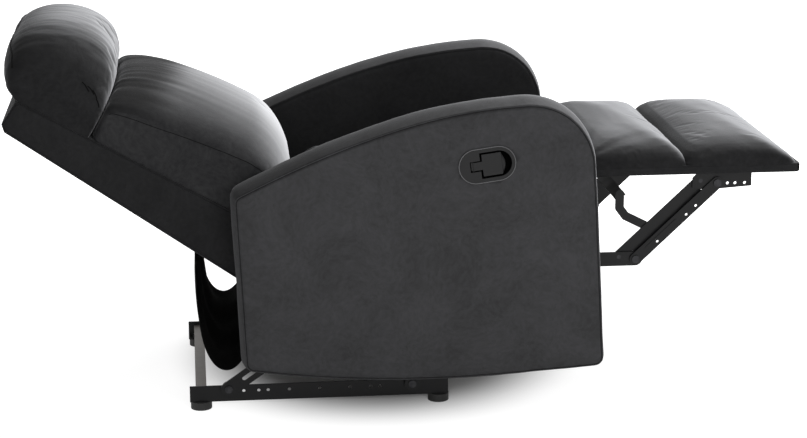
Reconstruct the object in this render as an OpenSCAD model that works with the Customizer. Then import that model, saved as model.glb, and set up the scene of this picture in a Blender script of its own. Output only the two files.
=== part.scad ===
// Reclining armchair with a pull latch, shown fully reclined with its footrest out.
// +X is the way the sitter faces, +Y the sitter's left and +Z up.
// The origin is on the floor, under the middle of the whole chair.

/* [Body] */
// Clear width between the two arms
inner_width = 496; // [440:1:620]
// Thickness of an arm from side to side
arm_thickness = 102; // [80:1:130]
// Length of an arm from rear edge to front edge
arm_length = 678; // [620:1:760]
// Height of an arm from its lower edge to its top
arm_height = 519; // [460:1:580]
// Height of the arm's rear top corner above its lower front edge
arm_rear_height = 389; // [340:1:430]
// Radius of the arm's front top corner
arm_front_radius = 128; // [90:1:150]
// How far the arm's lower edge rises at the rear
arm_rear_rise = 55; // [30:1:80]
// Padding between the arm's core and its cloth
arm_padding = 16; // [14:1:20]
// Angle by which the whole body leans back when reclined
body_tilt = 3.6; // [1:0.1:6]

/* [Base] */
// Length of a floor rail
rail_length = 502; // [440:1:560]
// Height of a floor rail's upright flange
rail_height = 32; // [26:1:38]
// Width of a floor rail's flat flange
rail_foot_width = 24; // [20:1:30]
// Thickness of the pressed steel
steel = 3; // [2.5:0.1:3.5]
// Diameter of a rubber foot
foot_diameter = 41; // [34:1:46]
// Height of a rubber foot
foot_height = 15; // [12:1:20]
// Width of the cross tubes that join the floor rails
base_tube_width = 21; // [16:1:26]

/* [Lift links] */
// Distance between the pivots of a rear lift link
rear_link_length = 115; // [105:1:125]
// Slope of the rear lift link when reclined
rear_link_angle = 35; // [30:1:40]
// Distance between the pivots of a front lift link
front_link_length = 100; // [92:1:106]
// Slope of the front lift link when reclined
front_link_angle = 72.4; // [70:0.1:75]
// Width of a lift link
lift_link_width = 30; // [24:1:34]

/* [Seat] */
// Depth of the seat box from its rear rail to its front rail
seat_depth = 505; // [490:1:512]
// Height of the seat box's side rail at its front end
seat_box_height = 130; // [115:1:140]
// Slope of the seat down towards the back
seat_slope = 9; // [6:0.5:10]
// Thickness of the seat box's timber
timber = 18; // [15:1:20]
// Thickness of the seat cushion at its crown
seat_cushion_thickness = 82; // [60:1:95]

/* [Back] */
// Height of the back's padded frame
back_height = 533; // [480:1:560]
// Thickness of the back's frame at its lower end
back_frame_depth = 104; // [90:1:120]
// Thickness of the back's frame at its top
back_frame_top_depth = 53; // [45:1:65]
// Width of the back
back_width = 476; // [430:1:476]
// Lean of the back from upright, measured against the body
back_lean = 51.5; // [46:0.5:56]
// Length of the lumbar cushion up the back
lumbar_length = 380; // [330:1:400]
// Height of the headrest roll up the back
headrest_height = 201; // [160:1:215]
// Depth of the headrest roll
headrest_depth = 147; // [120:1:170]

/* [Footrest] */
// Distance from the footrest arm's pivot to the front bar's pivot
footrest_arm_length = 200; // [185:1:210]
// Distance between the pivots of a front bar and of a rear bar
footrest_bar_length = 215; // [200:1:225]
// Slope of the bars when the footrest is out
footrest_bar_angle = 43.5; // [40:0.5:46]
// Length of the footrest board
footrest_length = 424; // [390:1:424]
// Gap beside the footrest board, out to the plane of an arm's inner face
footrest_side_gap = 13; // [8:1:30]
// Length of the upper pad, the one next to the seat
upper_pad_length = 209; // [190:1:220]
// Thickness of the pads at their crown
pad_thickness = 72; // [60:1:90]
// Thickness of the footrest board
board_thickness = 12; // [9:1:15]

/* [Latch] */
// Length of the oval latch plate
latch_length = 108; // [90:1:120]
// Height of the oval latch plate
latch_height = 67; // [56:1:74]
// Depth of the latch's finger pocket
latch_depth = 30; // [24:1:36]
// Slope of the latch plate along the arm
latch_slope = 4; // [0:0.5:8]

/* [Hidden] */
$fn = 48;
// Cuts run past the faces they open by this much
overrun = 1;
// Radial play of a running pivot
running_play = 0.05;
// Radial play of the front lift link's upper pivot, where the lift chain is open
lift_play = 0.85;
// Radial play of the footrest bracket's rear pivot, where the footrest chain is open
footrest_play = 0.3;
// Gap between a soft piece and its neighbours
soft_gap = 0.3;
// Gap between neighbouring layers of the mechanism
layer_gap = 1;
// Pivot pins
pin_radius = 4;
head_radius = 7.5;
head_thickness = 2.5;
hub_radius = 13;

// Positions across the chair, measured out from its middle plane
arm_inner = inner_width / 2;
arm_outer = arm_inner + arm_thickness;
seat_gap = 4;
seat_outer = arm_inner - seat_gap;
seat_inner = seat_outer - timber;
mechanism_inset = 29;
plate_outer = arm_inner - mechanism_inset;
plate_inner = plate_outer - steel;
layer = steel + layer_gap;
// The outermost links, with the lift links and the front footrest bars
link_inner = plate_inner - layer;
link_outer = link_inner + steel;
// The footrest arms and the footrest's brackets
arm_link_inner = link_inner - layer;
arm_link_outer = arm_link_inner + steel;
// The rear footrest bars
rear_bar_inner = arm_link_inner - layer;
rear_bar_outer = rear_bar_inner + steel;
stretcher_inner = rear_bar_inner - steel;
base_gap = 6;
base_outer = link_inner - base_gap;
base_inner = base_outer - steel;
// Hinge plates lie on the seat box, back brackets on the back
hinge_outer = seat_outer + steel;
back_half = back_width / 2;
bracket_outer = back_half + steel;

// Points are [forward, up] in the frame they belong to
function turn(p, a) = [p[0] * cos(a) - p[1] * sin(a), p[0] * sin(a) + p[1] * cos(a)];
function ray(d, a) = [d * cos(a), d * sin(a)];
function bezier(a, b, c, d, t) =
    a * pow(1 - t, 3) + b * 3 * t * pow(1 - t, 2) + c * 3 * t * t * (1 - t) + d * t * t * t;
function curve(spans, n) = [for (s = spans) for (i = [0:n - 1]) bezier(s[0], s[1], s[2], s[3], i / n)];
function mean(p) = [for (k = [0:2]) [for (q = p) 1 / len(p)] * [for (q = p) q[k]]];

// Floor pivots, in the chair's own frame
base_rear_pivot = [-351.5, 42];
// Body pivots, in the body's frame
rear_ear = [65, 38];
front_ear = [358, 47];
body_at = base_rear_pivot + ray(rear_link_length, rear_link_angle) - turn(rear_ear, body_tilt);
base_front_pivot = body_at + turn(front_ear, body_tilt) - ray(front_link_length, front_link_angle);
back_hinge = [72, 304];
footrest_pivot = [571, 177.5];
bar_pivot = footrest_pivot + ray(footrest_arm_length, -body_tilt);
rear_bar_shift = 32;
rear_bar_lift = 4;
bar_offset = ray(rear_bar_lift, 90 - body_tilt) - ray(rear_bar_shift, -body_tilt);
rear_bar_pivot = bar_pivot + bar_offset;
bar_slope = footrest_bar_angle - body_tilt;
panel_pivot = bar_pivot + ray(footrest_bar_length, bar_slope);
panel_rear_pivot = rear_bar_pivot + ray(footrest_bar_length, bar_slope);

// The body's frame, the back's frame and the footrest panel's frame
module in_body() translate([body_at[0], 0, body_at[1]]) rotate([0, -body_tilt, 0]) children();
module in_back() in_body() translate([back_hinge[0], 0, back_hinge[1]]) rotate([0, -back_lean, 0]) children();
module in_panel() in_body() translate([panel_pivot[0], 0, panel_pivot[1]]) rotate([0, body_tilt, 0])
    children();
module right() mirror([0, 1, 0]) children();
module both() {
    children();
    right() children();
}

// A sheet drawn in side view, lying between two distances from the middle plane
module plate(y0, y1) translate([0, y1, 0]) rotate([90, 0, 0]) linear_extrude(y1 - y0) children();
module pin(p, y0, y1, r) translate([p[0], y1, p[1]]) rotate([90, 0, 0]) cylinder(h = y1 - y0, r = r);
// A straight bar with round ends, in side view, its sides a hair inside the ends
bar_side_share = 0.995;
module bar(a, b, r) {
    side = r * bar_side_share;
    translate(a) circle(r);
    translate(b) circle(r);
    translate(a) rotate(atan2(b[1] - a[1], b[0] - a[0])) translate([0, -side])
        square([norm(b - a), 2 * side]);
}
module hole(p, r) translate(p) circle(r);
module slot(a, b, r) bar(a, b, r);

// A closed skin through rings of points, with a point in the middle of each end
module loft(rings) {
    n = len(rings[0]);
    m = len(rings);
    points = [for (r = rings) each r, mean(rings[0]), mean(rings[m - 1])];
    polyhedron(points = points, faces = [
        for (i = [0:m - 2]) for (j = [0:n - 1]) let (k = (j + 1) % n) each [
            [i * n + j, (i + 1) * n + j, (i + 1) * n + k],
            [i * n + j, (i + 1) * n + k, i * n + k]
        ],
        for (j = [0:n - 1]) [m * n, j, (j + 1) % n],
        for (j = [0:n - 1]) [m * n + 1, (m - 1) * n + (j + 1) % n, (m - 1) * n + j]
    ]);
}
function side_ring(outline, y) = [for (p = outline) [p[0], y, p[1]]];

// A pad's ring: a rounded oblong, sized by a share of its half length and half width
pad_corners = 44;
pad_corner_share = 0.28;
function pad_ring(hx, hy, size, rear, toe, z) = [
    for (i = [0:pad_corners - 1]) let (a = 360 * i / pad_corners, c = cos(a), s = sin(a)) [
        hx * (c < 0 ? -pow(size, rear) : pow(size, toe)) * pow(abs(c), pad_corner_share),
        hy * size * (s < 0 ? -1 : 1) * pow(abs(s), pad_corner_share),
        z
    ]
];
// Height shares and size shares of a pad, from its underside over its widest line to its crown
pad_rise_shares = [0, 0.08, 0.2, 0.32, 0.42, 0.55, 0.7, 0.83, 0.93, 0.98];
pad_size_shares = [0.95, 0.985, 1, 0.995, 0.975, 0.93, 0.84, 0.7, 0.48, 0.26];
module pad(hx, hy, thickness, rear, toe) loft([
    for (i = [0:len(pad_rise_shares) - 1])
        pad_ring(hx, hy, pad_size_shares[i], rear, toe, thickness * pad_rise_shares[i])
]);

// Corner between two straight edges, as [x, y, normal x, normal y] samples
corner_steps = 4;
function round_corner(c, a, b, r, steps) = let (
    n1 = ray(1, a), n2 = ray(1, b), m = c - r * (n1 + n2) / (1 + n1 * n2)
) [for (i = [0:steps])
    let (t = a + (b - a) * i / steps) [m[0] + r * cos(t), m[1] + r * sin(t), cos(t), sin(t)]];
function inset_outline(samples, e) = [for (p = samples) [p[0] - e * p[2], p[1] - e * p[3]]];

// Side outline of an arm, in the body's frame
corner_margin = 3;
arm_corner = arm_padding + corner_margin;
arm_rear_lean = 5;
arm_top_reach = 158;
arm_rise_reach = 198;
arm_brow = 373;
arm_steps = 8;
arm_top_end_share = 0.98;
arm_top_start = [arm_length - arm_top_reach, arm_height];
arm_top_bend = [arm_length - arm_brow, arm_height];
arm_top_end = [arm_rear_lean, arm_rear_height];
arm_rise_start = arm_length - arm_rise_reach;
top_end_normal = atan2(arm_height - arm_rear_height, arm_top_bend[0] - arm_rear_lean) + 90;
rear_normal = 180 - atan2(arm_rear_lean, arm_rear_height - arm_rear_rise);
rise_end_normal = 270 - atan2(2 * arm_rear_rise, arm_rise_start);
function arm_top(t) = let (
    p = arm_top_start * pow(1 - t, 2) + arm_top_bend * 2 * t * (1 - t) + arm_top_end * t * t,
    d = (arm_top_bend - arm_top_start) * (1 - t) + (arm_top_end - arm_top_bend) * t,
    n = [d[1], -d[0]] / norm(d)
) [p[0], p[1], n[0], n[1]];
function arm_rise(x) = let (
    k = (arm_rise_start - x) / arm_rise_start, n = [-2 * arm_rear_rise * k / arm_rise_start, -1]
) [x, arm_rear_rise * k * k, n[0] / norm(n), n[1] / norm(n)];
arm_outline = [
    each round_corner([arm_length, 0], -90, 0, arm_corner, corner_steps),
    each round_corner([arm_length, arm_height], 0, 90, arm_front_radius, arm_steps),
    for (i = [0:arm_steps - 1]) arm_top(i / arm_steps),
    arm_top(arm_top_end_share),
    each round_corner(arm_top_end, top_end_normal, rear_normal, arm_corner, corner_steps),
    each round_corner([0, arm_rear_rise], rear_normal, rise_end_normal, arm_corner, corner_steps),
    for (i = [1:arm_steps]) arm_rise(arm_rise_start * i / arm_steps)
];
arm_edge = 14;
edge_steps = 4;
module arm_core_shape() plate(arm_inner + arm_padding, arm_outer - arm_padding)
    polygon(inset_outline(arm_outline, arm_padding));
module arm_skin() loft([
    for (i = [0:edge_steps]) let (a = 90 * i / edge_steps)
        side_ring(inset_outline(arm_outline, arm_edge * (1 - sin(a))), arm_inner + arm_edge * (1 - cos(a))),
    for (i = [0:edge_steps]) let (a = 90 * i / edge_steps)
        side_ring(inset_outline(arm_outline, arm_edge * (1 - cos(a))), arm_outer - arm_edge * (1 - sin(a)))
]);
arm_bolt_points = [[200, 242], [420, 250], [620, 290]];
arm_bolt_radius = 4;
arm_bolt_reach = 30;
arm_bolt_collar = 9;

// The latch, in the frame of its oval plate on the right arm's outer face, +Y going into the arm
latch_at = [473, 412];
latch_proud = 3;
latch_wall = 2;
finger_radius = 24.5;
finger_centre = 21.2;
finger_rear = -12.8;
stem_half = 10;
stem_rear = -31.8;
latch_hinge = -26;
latch_hinge_depth = 5;
latch_pin_radius = 2;
latch_pin_length = 23;
paddle_front = 27;
paddle_half = 20.5;
paddle_rear = -9;
paddle_stem_half = 7.7;
paddle_thickness = 4;
barrel_radius = 3.8;
cup_clearance = 0.5;
module on_latch() in_body() translate([latch_at[0], -arm_outer, latch_at[1]])
    rotate([0, -latch_slope, 0]) children();
module oval(length, height) bar([(height - length) / 2, 0], [(length - height) / 2, 0], height / 2);
module pocket_shape(grow) {
    side = (finger_radius + grow) * bar_side_share;
    hole([finger_centre, 0], finger_radius + grow);
    translate([finger_rear - grow, -side]) square([finger_centre - finger_rear + grow, 2 * side]);
    translate([stem_rear - grow, -stem_half - grow])
        square([finger_rear - stem_rear + grow, 2 * (stem_half + grow)]);
}
// Cable from the latch down inside the right arm to the mechanism
cable_radius = 2.5;
cable_sides = 8;
cable_space = 8;
cable_space_shares = 2;
cable_depth = 50;
cable_exit = [440, 190];
cable_route = [
    [474, 36, 408], [473, 44, 402], [472, 48, 390], [470, 50, 370], [464, 50, 335],
    [458, 50, 300], [453, 50, 265],
    [448, 50, 235], [444, 51, 212], [441.5, 56, 200], [440.3, 64, 193], [440, 75, 190.5], [440, 86, 190],
    [440, 98, 190], [440, 110, 190], [440, 122, 190], [440, 130.5, 190]
];
cable_points = [for (p = cable_route) [p[0], p[1] - arm_outer, p[2]]];
function unit(v) = v / norm(v);
function tube_ring(p, d, r) = let (s = unit(cross([1, 0, 0], d)), t = cross(d, s))
    [for (i = [0:cable_sides - 1]) p + r * (s * cos(360 * i / cable_sides) + t * sin(360 * i / cable_sides))];
ferrule_radius = 4.5;
ferrule_length = 8;
module cable_channel() {
    plate(cable_route[0][1] - cable_space - arm_outer,
        cable_depth + cable_space_shares * cable_space - arm_outer)
        bar(latch_at, cable_exit, cable_space);
    pin(cable_exit, -arm_outer + cable_depth, -arm_inner + overrun, cable_space);
}

// Base
rail_rear_reach = 75;
rail_rear = base_rear_pivot[0] - rail_rear_reach;
rail_base = foot_height;
rear_foot_inset = 22;
front_foot_inset = 18;
foot_setback = 12;
foot_y = base_outer - foot_setback;
foot_x = [rail_rear + rear_foot_inset, rail_rear + rail_length - front_foot_inset];
foot_bolt_radius = 3.9;
foot_bolt_head = 7;
foot_bolt_recess = 5;
foot_nut_radius = 6.5;
foot_nut_height = 6;
tube_wall = 1.5;
rail_hole_radius = 3.2;
rail_hole_height = 35;
rail_hole_steps = [104, 133, 151, 192, 251, 310, 351, 368];
link_slot_radius = 4;
link_slot_share = 0.18;

// Mechanism plates
web_rear = 55;
web_front = 592;
web_bottom = 130;
seat_line = 215;
flange_top = seat_line;
web_flange_rear = 150;
ear_radius = 16;
rear_ear_top = [84, 148];
front_ear_top = [366, 150];
front_hub_radius = 20;
front_tube = [500, 182];
rear_tube = [130, 180];
cross_tube_radius = 12;
lightening = [[210, 172], [290, 172], [440, 172]];
lightening_radius = 16;

// Seat box
seat_rear = 150;
seat_front = seat_rear + seat_depth;
seat_top = seat_line + seat_box_height;
seat_drop = seat_depth * tan(seat_slope);
front_rail_clear = 25;
strap_width = 55;
strap_thickness = 2;
strap_count = 5;
strap_pitch = 84;
seat_cushion_lap = 6;
seat_cushion_length = 476;
seat_cushion_side = 5;
hinge_plate_end = [200, 242];
hinge_plate_radius = 20;
hinge_bolt = [177.5, 253];
hinge_bolt_radius = 3;
// Batten between the arms that holds the lower edge of the rear valance
batten_at = [14, 68];
batten_depth = 20;
batten_height = 22;

// Back, with +Z up the back and +X out of its front face
back_set = 115;
back_foot = -15;
back_top = back_foot + back_height;
back_corner = 10;
back_edge = 8;
cover_wall = 6;
stile_thickness = 20;
front_slope = atan2(back_frame_depth - back_frame_top_depth, back_height);
function front_x(z, inset) =
    back_frame_depth - back_set - (z - back_foot) * tan(front_slope) - inset / cos(front_slope);
function back_corners(side, front) = [
    [side - back_set, back_foot + side],
    [front_x(back_foot + side, front), back_foot + side],
    [front_x(back_top - side, front), back_top - side],
    [side - back_set, back_top - side]
];
back_outline = let (c = back_corners(0, 0)) [
    each round_corner(c[0], 180, 270, back_corner, corner_steps),
    each round_corner(c[1], -90, front_slope, back_corner, corner_steps),
    each round_corner(c[2], front_slope, 90, back_corner, corner_steps),
    each round_corner(c[3], 90, 180, back_corner, corner_steps)
];
// The frame of the back's front face, +Z up along it
module on_front() in_back() translate([back_frame_depth - back_set, 0, back_foot])
    rotate([0, -front_slope, 0]) children();
board = 18;
back_rail_setback = 44;
back_rail_depth = back_frame_depth - back_rail_setback;
back_rail_heights = [14, 240, 470];
back_strap_width = 50;
back_strap_heights = [75, 150, 300, 375];
front_foot = back_frame_depth - back_set;
bracket_end = [front_foot - 33, 34];
bracket_radius = 16;
bracket_bolts = [bracket_end, [front_foot - 13.5, 19]];
bracket_bolt_radius = 3;
bracket_bolt_reach = 18;

// Side views of the back's two cushions, as [out of the frame, up the frame] curves at their drawn sizes
lumbar_drawn = [155, 380];
lumbar_spans = [
    [[0, 6], [40, -4], [90, -7], [108, 10]],
    [[108, 10], [126, 28], [155, 70], [155, 115]],
    [[155, 115], [155, 165], [152, 225], [146, 285]],
    [[146, 285], [142, 322], [137, 358], [118, 374]],
    [[118, 374], [110, 381], [98, 381], [88, 380]],
    [[88, 380], [60, 379], [30, 379], [0, 379]],
    [[0, 379], [0, 250], [0, 130], [0, 6]]
];
lumbar_depth = 155;
lumbar_steps = 5;
lumbar_centre = 190;
lumbar_half = back_half - head_thickness - soft_gap;
headrest_drawn = [152, 201];
headrest_spans = [
    [[0, 0], [30, 0], [58, -1], [84, 2]],
    [[84, 2], [126, 6], [152, 39], [152, 84]],
    [[152, 84], [152, 154], [116, 201], [66, 201]],
    [[66, 201], [32, 201], [3, 188], [3, 160]],
    [[3, 160], [1, 114], [0, 54], [0, 0]]
];
headrest_gap = 5;
headrest_steps = 7;
headrest_centre = [70, 485];
headrest_half = 238;
function stretched(spans, drawn, size, lift) = [
    for (s = spans) [for (p = s) [p[0] * size[0] / drawn[0], p[1] * size[1] / drawn[1] + lift]]
];
// Across the back: position shares, how far the crown stands out, and how far the ends are drawn in
across_shares = [-1, -0.985, -0.93, -0.78, -0.5, 0, 0.5, 0.78, 0.93, 0.985, 1];
lumbar_crown_shares = [0.58, 0.64, 0.72, 0.84, 0.95, 1, 0.95, 0.84, 0.72, 0.64, 0.58];
lumbar_end_shares = [0.955, 0.985, 1, 1, 1, 1, 1, 1, 1, 0.985, 0.955];
headrest_end_shares = [0.72, 0.86, 0.95, 0.985, 1, 1, 1, 0.985, 0.95, 0.86, 0.72];

// Footrest
arm_link_radius = 14;
front_bar_radius = 11.5;
rear_bar_radius = 11;
front_bar_holes = [54, 130, 155];
front_bar_hole_drop = 4;
front_bar_hole_radius = 2.6;
panel_rear = -270;
panel_front = panel_rear + footrest_length;
board_base = 27;
bracket_flange = 24;
panel_plate = [[-48, -10], [-48, 10], [-30, 27], [68, 27], [68, -8], [-20, -14]];
panel_holes = [[21, -2], [36, -2], [55, -2]];
panel_hole_radius = 3;
pad_gap = 2;
upper_pad_rear_share = 1.6;
lower_pad_toe_share = 2.2;
toe_overhang = 5;
footrest_width = inner_width - 2 * footrest_side_gap;
pad_lap = 1;
footrest_pad_width = footrest_width + 2 * pad_lap;
stretcher_points = [[52.7, 57.9], [17, 79], [6, 96], [7.8, 124]];
stretcher_radius = 8.5;
stretcher_bar_at = [10, 116];
stretcher_bar_width = 22;

// Rear valance, from the back's rear face down to the batten
valance_half = 238;
valance_thickness = 1.6;
valance_line = [
    [-80, 262], [-81.5, 230], [-81, 190], [-80, 150], [-79, 110], [-74, 80], [-64, 50], [-48, 31], [-30, 27],
    [-12, 38], [2, 52], [12, 61.5], [28, 66.9]
];
valance_fold = 3.5;
valance_folds = 3;
valance_columns = 16;
function valance_point(i, j, side) = let (
    p = valance_line[i],
    n = len(valance_line) - 1,
    q = valance_line[min(i + 1, n)] - valance_line[max(i - 1, 0)],
    out = [q[1], -q[0]] / norm(q),
    a = 360 * valance_folds * j / valance_columns,
    wave = valance_fold * sin(180 * i / n) * sin(a + 20 * i) + side * valance_thickness
) [p[0] + out[0] * wave, valance_half * (2 * j / valance_columns - 1), p[1] + out[1] * wave];
// A thin sheet between two grids of points
module sheet(front, back) {
    n = len(front);
    m = len(front[0]);
    s = n * m;
    points = [for (r = front) each r, for (r = back) each r];
    polyhedron(points = points, faces = [
        for (i = [0:n - 2]) for (j = [0:m - 2]) let (a = i * m + j, b = a + 1, c = a + m + 1, d = a + m)
            each [[a, b, c], [a, c, d], [s + a, s + c, s + b], [s + a, s + d, s + c]],
        for (j = [0:m - 2]) each [[j, s + j, s + j + 1], [j, s + j + 1, j + 1]],
        for (j = [0:m - 2]) let (a = (n - 1) * m + j) each [[a, a + 1, s + a + 1], [a, s + a + 1, s + a]],
        for (i = [0:n - 2]) let (a = i * m) each [[a, a + m, s + a + m], [a, s + a + m, s + a]],
        for (i = [0:n - 2]) let (a = i * m + m - 1) each [[a, s + a, s + a + m], [a, s + a + m, a + m]]
    ]);
}

steel_black = [0.09, 0.09, 0.1];
tube_brown = [0.54, 0.52, 0.5];
velvet = [0.2, 0.2, 0.21];
lining = [0.06, 0.06, 0.06];
plywood = [0.72, 0.58, 0.4];
foam = [0.86, 0.83, 0.7];
plastic = [0.06, 0.06, 0.06];
rubber = [0.08, 0.08, 0.08];
zinc = [0.7, 0.7, 0.72];

// Pressed steel floor rail with its upright flange outwards
module base_rail() color(steel_black) difference() {
    union() {
        plate(base_inner, base_outer) {
            translate([rail_rear, rail_base]) square([rail_length, rail_height]);
            hole(base_rear_pivot, hub_radius);
            hole(base_front_pivot, hub_radius);
        }
        translate([rail_rear, base_outer - rail_foot_width, rail_base])
            cube([rail_length, rail_foot_width, steel]);
    }
    for (p = [base_rear_pivot, base_front_pivot])
        pin(p, base_inner - overrun, base_outer + overrun, pin_radius);
    for (x = rail_hole_steps)
        pin([rail_rear + x, rail_hole_height], base_inner - overrun, base_outer + overrun, rail_hole_radius);
    for (x = foot_x) translate([x, foot_y, rail_base - overrun])
        cylinder(h = steel + 2 * overrun, r = foot_bolt_radius);
}
module base_rail_left() base_rail();
module base_rail_right() right() base_rail();

// Square cross tube standing on the flat flanges of both rails
module base_tube(x) color(tube_brown) difference() {
    translate([x - base_tube_width / 2, -base_inner, rail_base + steel])
        cube([base_tube_width, 2 * base_inner, base_tube_width]);
    translate([x - base_tube_width / 2 + tube_wall, -base_inner - overrun, rail_base + steel + tube_wall])
        cube([base_tube_width - 2 * tube_wall, 2 * (base_inner + overrun), base_tube_width - 2 * tube_wall]);
    both() translate([x, foot_y, rail_base]) cylinder(h = steel + tube_wall + overrun, r = foot_bolt_radius);
}
module base_cross_tubes() {
    base_tube(foot_x[0]);
    base_tube(foot_x[1]);
}

module base_feet() color(rubber) both() for (x = foot_x) translate([x, foot_y, 0]) difference() {
    cylinder(h = foot_height, r = foot_diameter / 2);
    translate([0, 0, -overrun]) cylinder(h = foot_bolt_recess + overrun, r = foot_bolt_head);
    cylinder(h = foot_height + overrun, r = foot_bolt_radius);
}
// Foot bolts, with heads in the feet and nuts inside the cross tubes
foot_bolt_head_height = 3;
module base_bolts() color(zinc) both() for (x = foot_x) translate([x, foot_y, 0]) {
    translate([0, 0, foot_bolt_recess - foot_bolt_head_height])
        cylinder(h = foot_bolt_head_height, r = foot_bolt_head);
    translate([0, 0, foot_bolt_recess])
        cylinder(h = rail_base + steel + tube_wall + foot_nut_height - foot_bolt_recess,
            r = foot_bolt_radius);
    translate([0, 0, rail_base + steel + tube_wall])
        cylinder(h = foot_nut_height, r = foot_nut_radius, $fn = 6);
}
// Shouldered studs that carry the lift links on the rails
module base_pivot_studs() color(zinc) both() for (p = [base_rear_pivot, base_front_pivot]) {
    pin(p, base_inner - head_thickness, base_inner, head_radius);
    pin(p, base_inner, link_outer, pin_radius);
    pin(p, base_outer, link_inner, head_radius);
    pin(p, link_outer, link_outer + head_thickness, head_radius);
}

// Lift link, a flat bar with a pressed slot
module lift_link(a, b, play) color(steel_black) plate(link_inner, link_outer) difference() {
    bar(a, b, lift_link_width / 2);
    hole(a, pin_radius + running_play);
    hole(b, pin_radius + play);
    slot(a * (0.5 + link_slot_share) + b * (0.5 - link_slot_share),
        a * (0.5 - link_slot_share) + b * (0.5 + link_slot_share), link_slot_radius);
}
module rear_lift_link() lift_link(base_rear_pivot, body_at + turn(rear_ear, body_tilt), running_play);
module rear_lift_link_left() rear_lift_link();
module rear_lift_link_right() right() rear_lift_link();
module front_lift_link() lift_link(base_front_pivot, body_at + turn(front_ear, body_tilt), lift_play);
module front_lift_link_left() front_lift_link();
module front_lift_link_right() right() front_lift_link();

// Side plate of the mechanism, with a flange under the seat box
module mechanism_plate() color(steel_black) in_body() difference() {
    union() {
        plate(plate_inner, plate_outer) difference() {
            union() {
                translate([web_rear, web_bottom]) square([web_front - web_rear, flange_top - web_bottom]);
                bar(rear_ear, rear_ear_top, ear_radius);
                bar(front_ear, front_ear_top, ear_radius);
                hole(footrest_pivot, front_hub_radius);
            }
            for (p = lightening) hole(p, lightening_radius);
        }
        translate([web_flange_rear, plate_inner, flange_top - steel])
            cube([web_front - web_flange_rear, seat_outer - seat_gap - plate_inner, steel]);
    }
    for (p = [rear_ear, front_ear, footrest_pivot])
        pin(p, plate_inner - overrun, plate_outer + overrun, pin_radius);
}
module mechanism_plate_left() mechanism_plate();
module mechanism_plate_right() right() mechanism_plate();

// Studs on the mechanism plates, for the lift links and the footrest arms
module body_pivot_studs() color(zinc) in_body() both() {
    for (p = [rear_ear, front_ear]) {
        pin(p, plate_outer, plate_outer + head_thickness, head_radius);
        pin(p, link_inner, plate_outer, pin_radius);
        pin(p, link_inner - head_thickness, link_inner, head_radius);
    }
    pin(footrest_pivot, plate_outer, plate_outer + head_thickness, head_radius);
    pin(footrest_pivot, arm_link_inner, plate_outer, pin_radius);
    pin(footrest_pivot, arm_link_outer, plate_inner, head_radius);
    pin(footrest_pivot, arm_link_inner - head_thickness, arm_link_inner, head_radius);
}
// Round cross tube welded between the mechanism plates
module cross_tube(p) color(steel_black) in_body() difference() {
    pin(p, -plate_inner, plate_inner, cross_tube_radius);
    pin(p, -plate_inner - overrun, plate_inner + overrun, cross_tube_radius - tube_wall);
}
module mechanism_cross_tubes() {
    cross_tube(front_tube);
    cross_tube(rear_tube);
}

// Hinge plate from the seat box back to the back's hinge
module hinge_plate() color(steel_black) in_body() plate(seat_outer, hinge_outer) difference() {
    bar(back_hinge, hinge_plate_end, hinge_plate_radius);
    hole(back_hinge, pin_radius);
    hole(hinge_plate_end, arm_bolt_radius);
    hole(hinge_bolt, hinge_bolt_radius);
}
module hinge_plate_left() hinge_plate();
module hinge_plate_right() right() hinge_plate();
module back_hinge_pins() color(zinc) in_body() both() {
    pin(back_hinge, back_half - head_thickness, back_half, head_radius);
    pin(back_hinge, back_half, hinge_outer, pin_radius);
    pin(back_hinge, bracket_outer, seat_outer, head_radius);
}

// Plywood side rail of the seat box
module seat_side_rail() color(plywood) in_body() difference() {
    plate(seat_inner, seat_outer) polygon([
        [seat_rear, seat_line], [seat_front, seat_line], [seat_front, seat_top],
            [seat_rear, seat_top - seat_drop]
    ]);
    for (p = arm_bolt_points) pin(p, seat_inner - overrun, seat_outer + overrun, arm_bolt_radius);
    pin(hinge_bolt, seat_inner - overrun, seat_outer + overrun, hinge_bolt_radius);
}
module seat_side_rail_left() seat_side_rail();
module seat_side_rail_right() right() seat_side_rail();
seat_slant = board * tan(seat_slope);
module seat_front_rail() color(plywood) in_body() plate(-seat_inner, seat_inner) polygon([
    [seat_front - board, seat_line + front_rail_clear], [seat_front, seat_line + front_rail_clear],
    [seat_front, seat_top], [seat_front - board, seat_top - seat_slant]
]);
module seat_rear_rail() color(plywood) in_body() plate(-seat_inner, seat_inner) polygon([
    [seat_rear, seat_line], [seat_rear + board, seat_line],
    [seat_rear + board, seat_top - seat_drop + seat_slant], [seat_rear, seat_top - seat_drop]
]);
// The seat deck's frame: +X forward along the rails, +Z out of them
module on_deck() in_body() translate([seat_front, 0, seat_top]) rotate([0, -seat_slope, 0]) children();
deck_length = seat_depth / cos(seat_slope);
module seat_straps() color(lining) on_deck() for (i = [0:strap_count - 1])
    translate([-deck_length, strap_pitch * (i - (strap_count - 1) / 2) - strap_width / 2, 0])
        cube([deck_length, strap_width, strap_thickness]);
module seat_cushion() color(velvet) on_deck()
    translate([seat_cushion_lap - seat_cushion_length / 2, 0, strap_thickness + soft_gap])
        pad(seat_cushion_length / 2, arm_inner - seat_cushion_side, seat_cushion_thickness, 1, 1);

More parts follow.
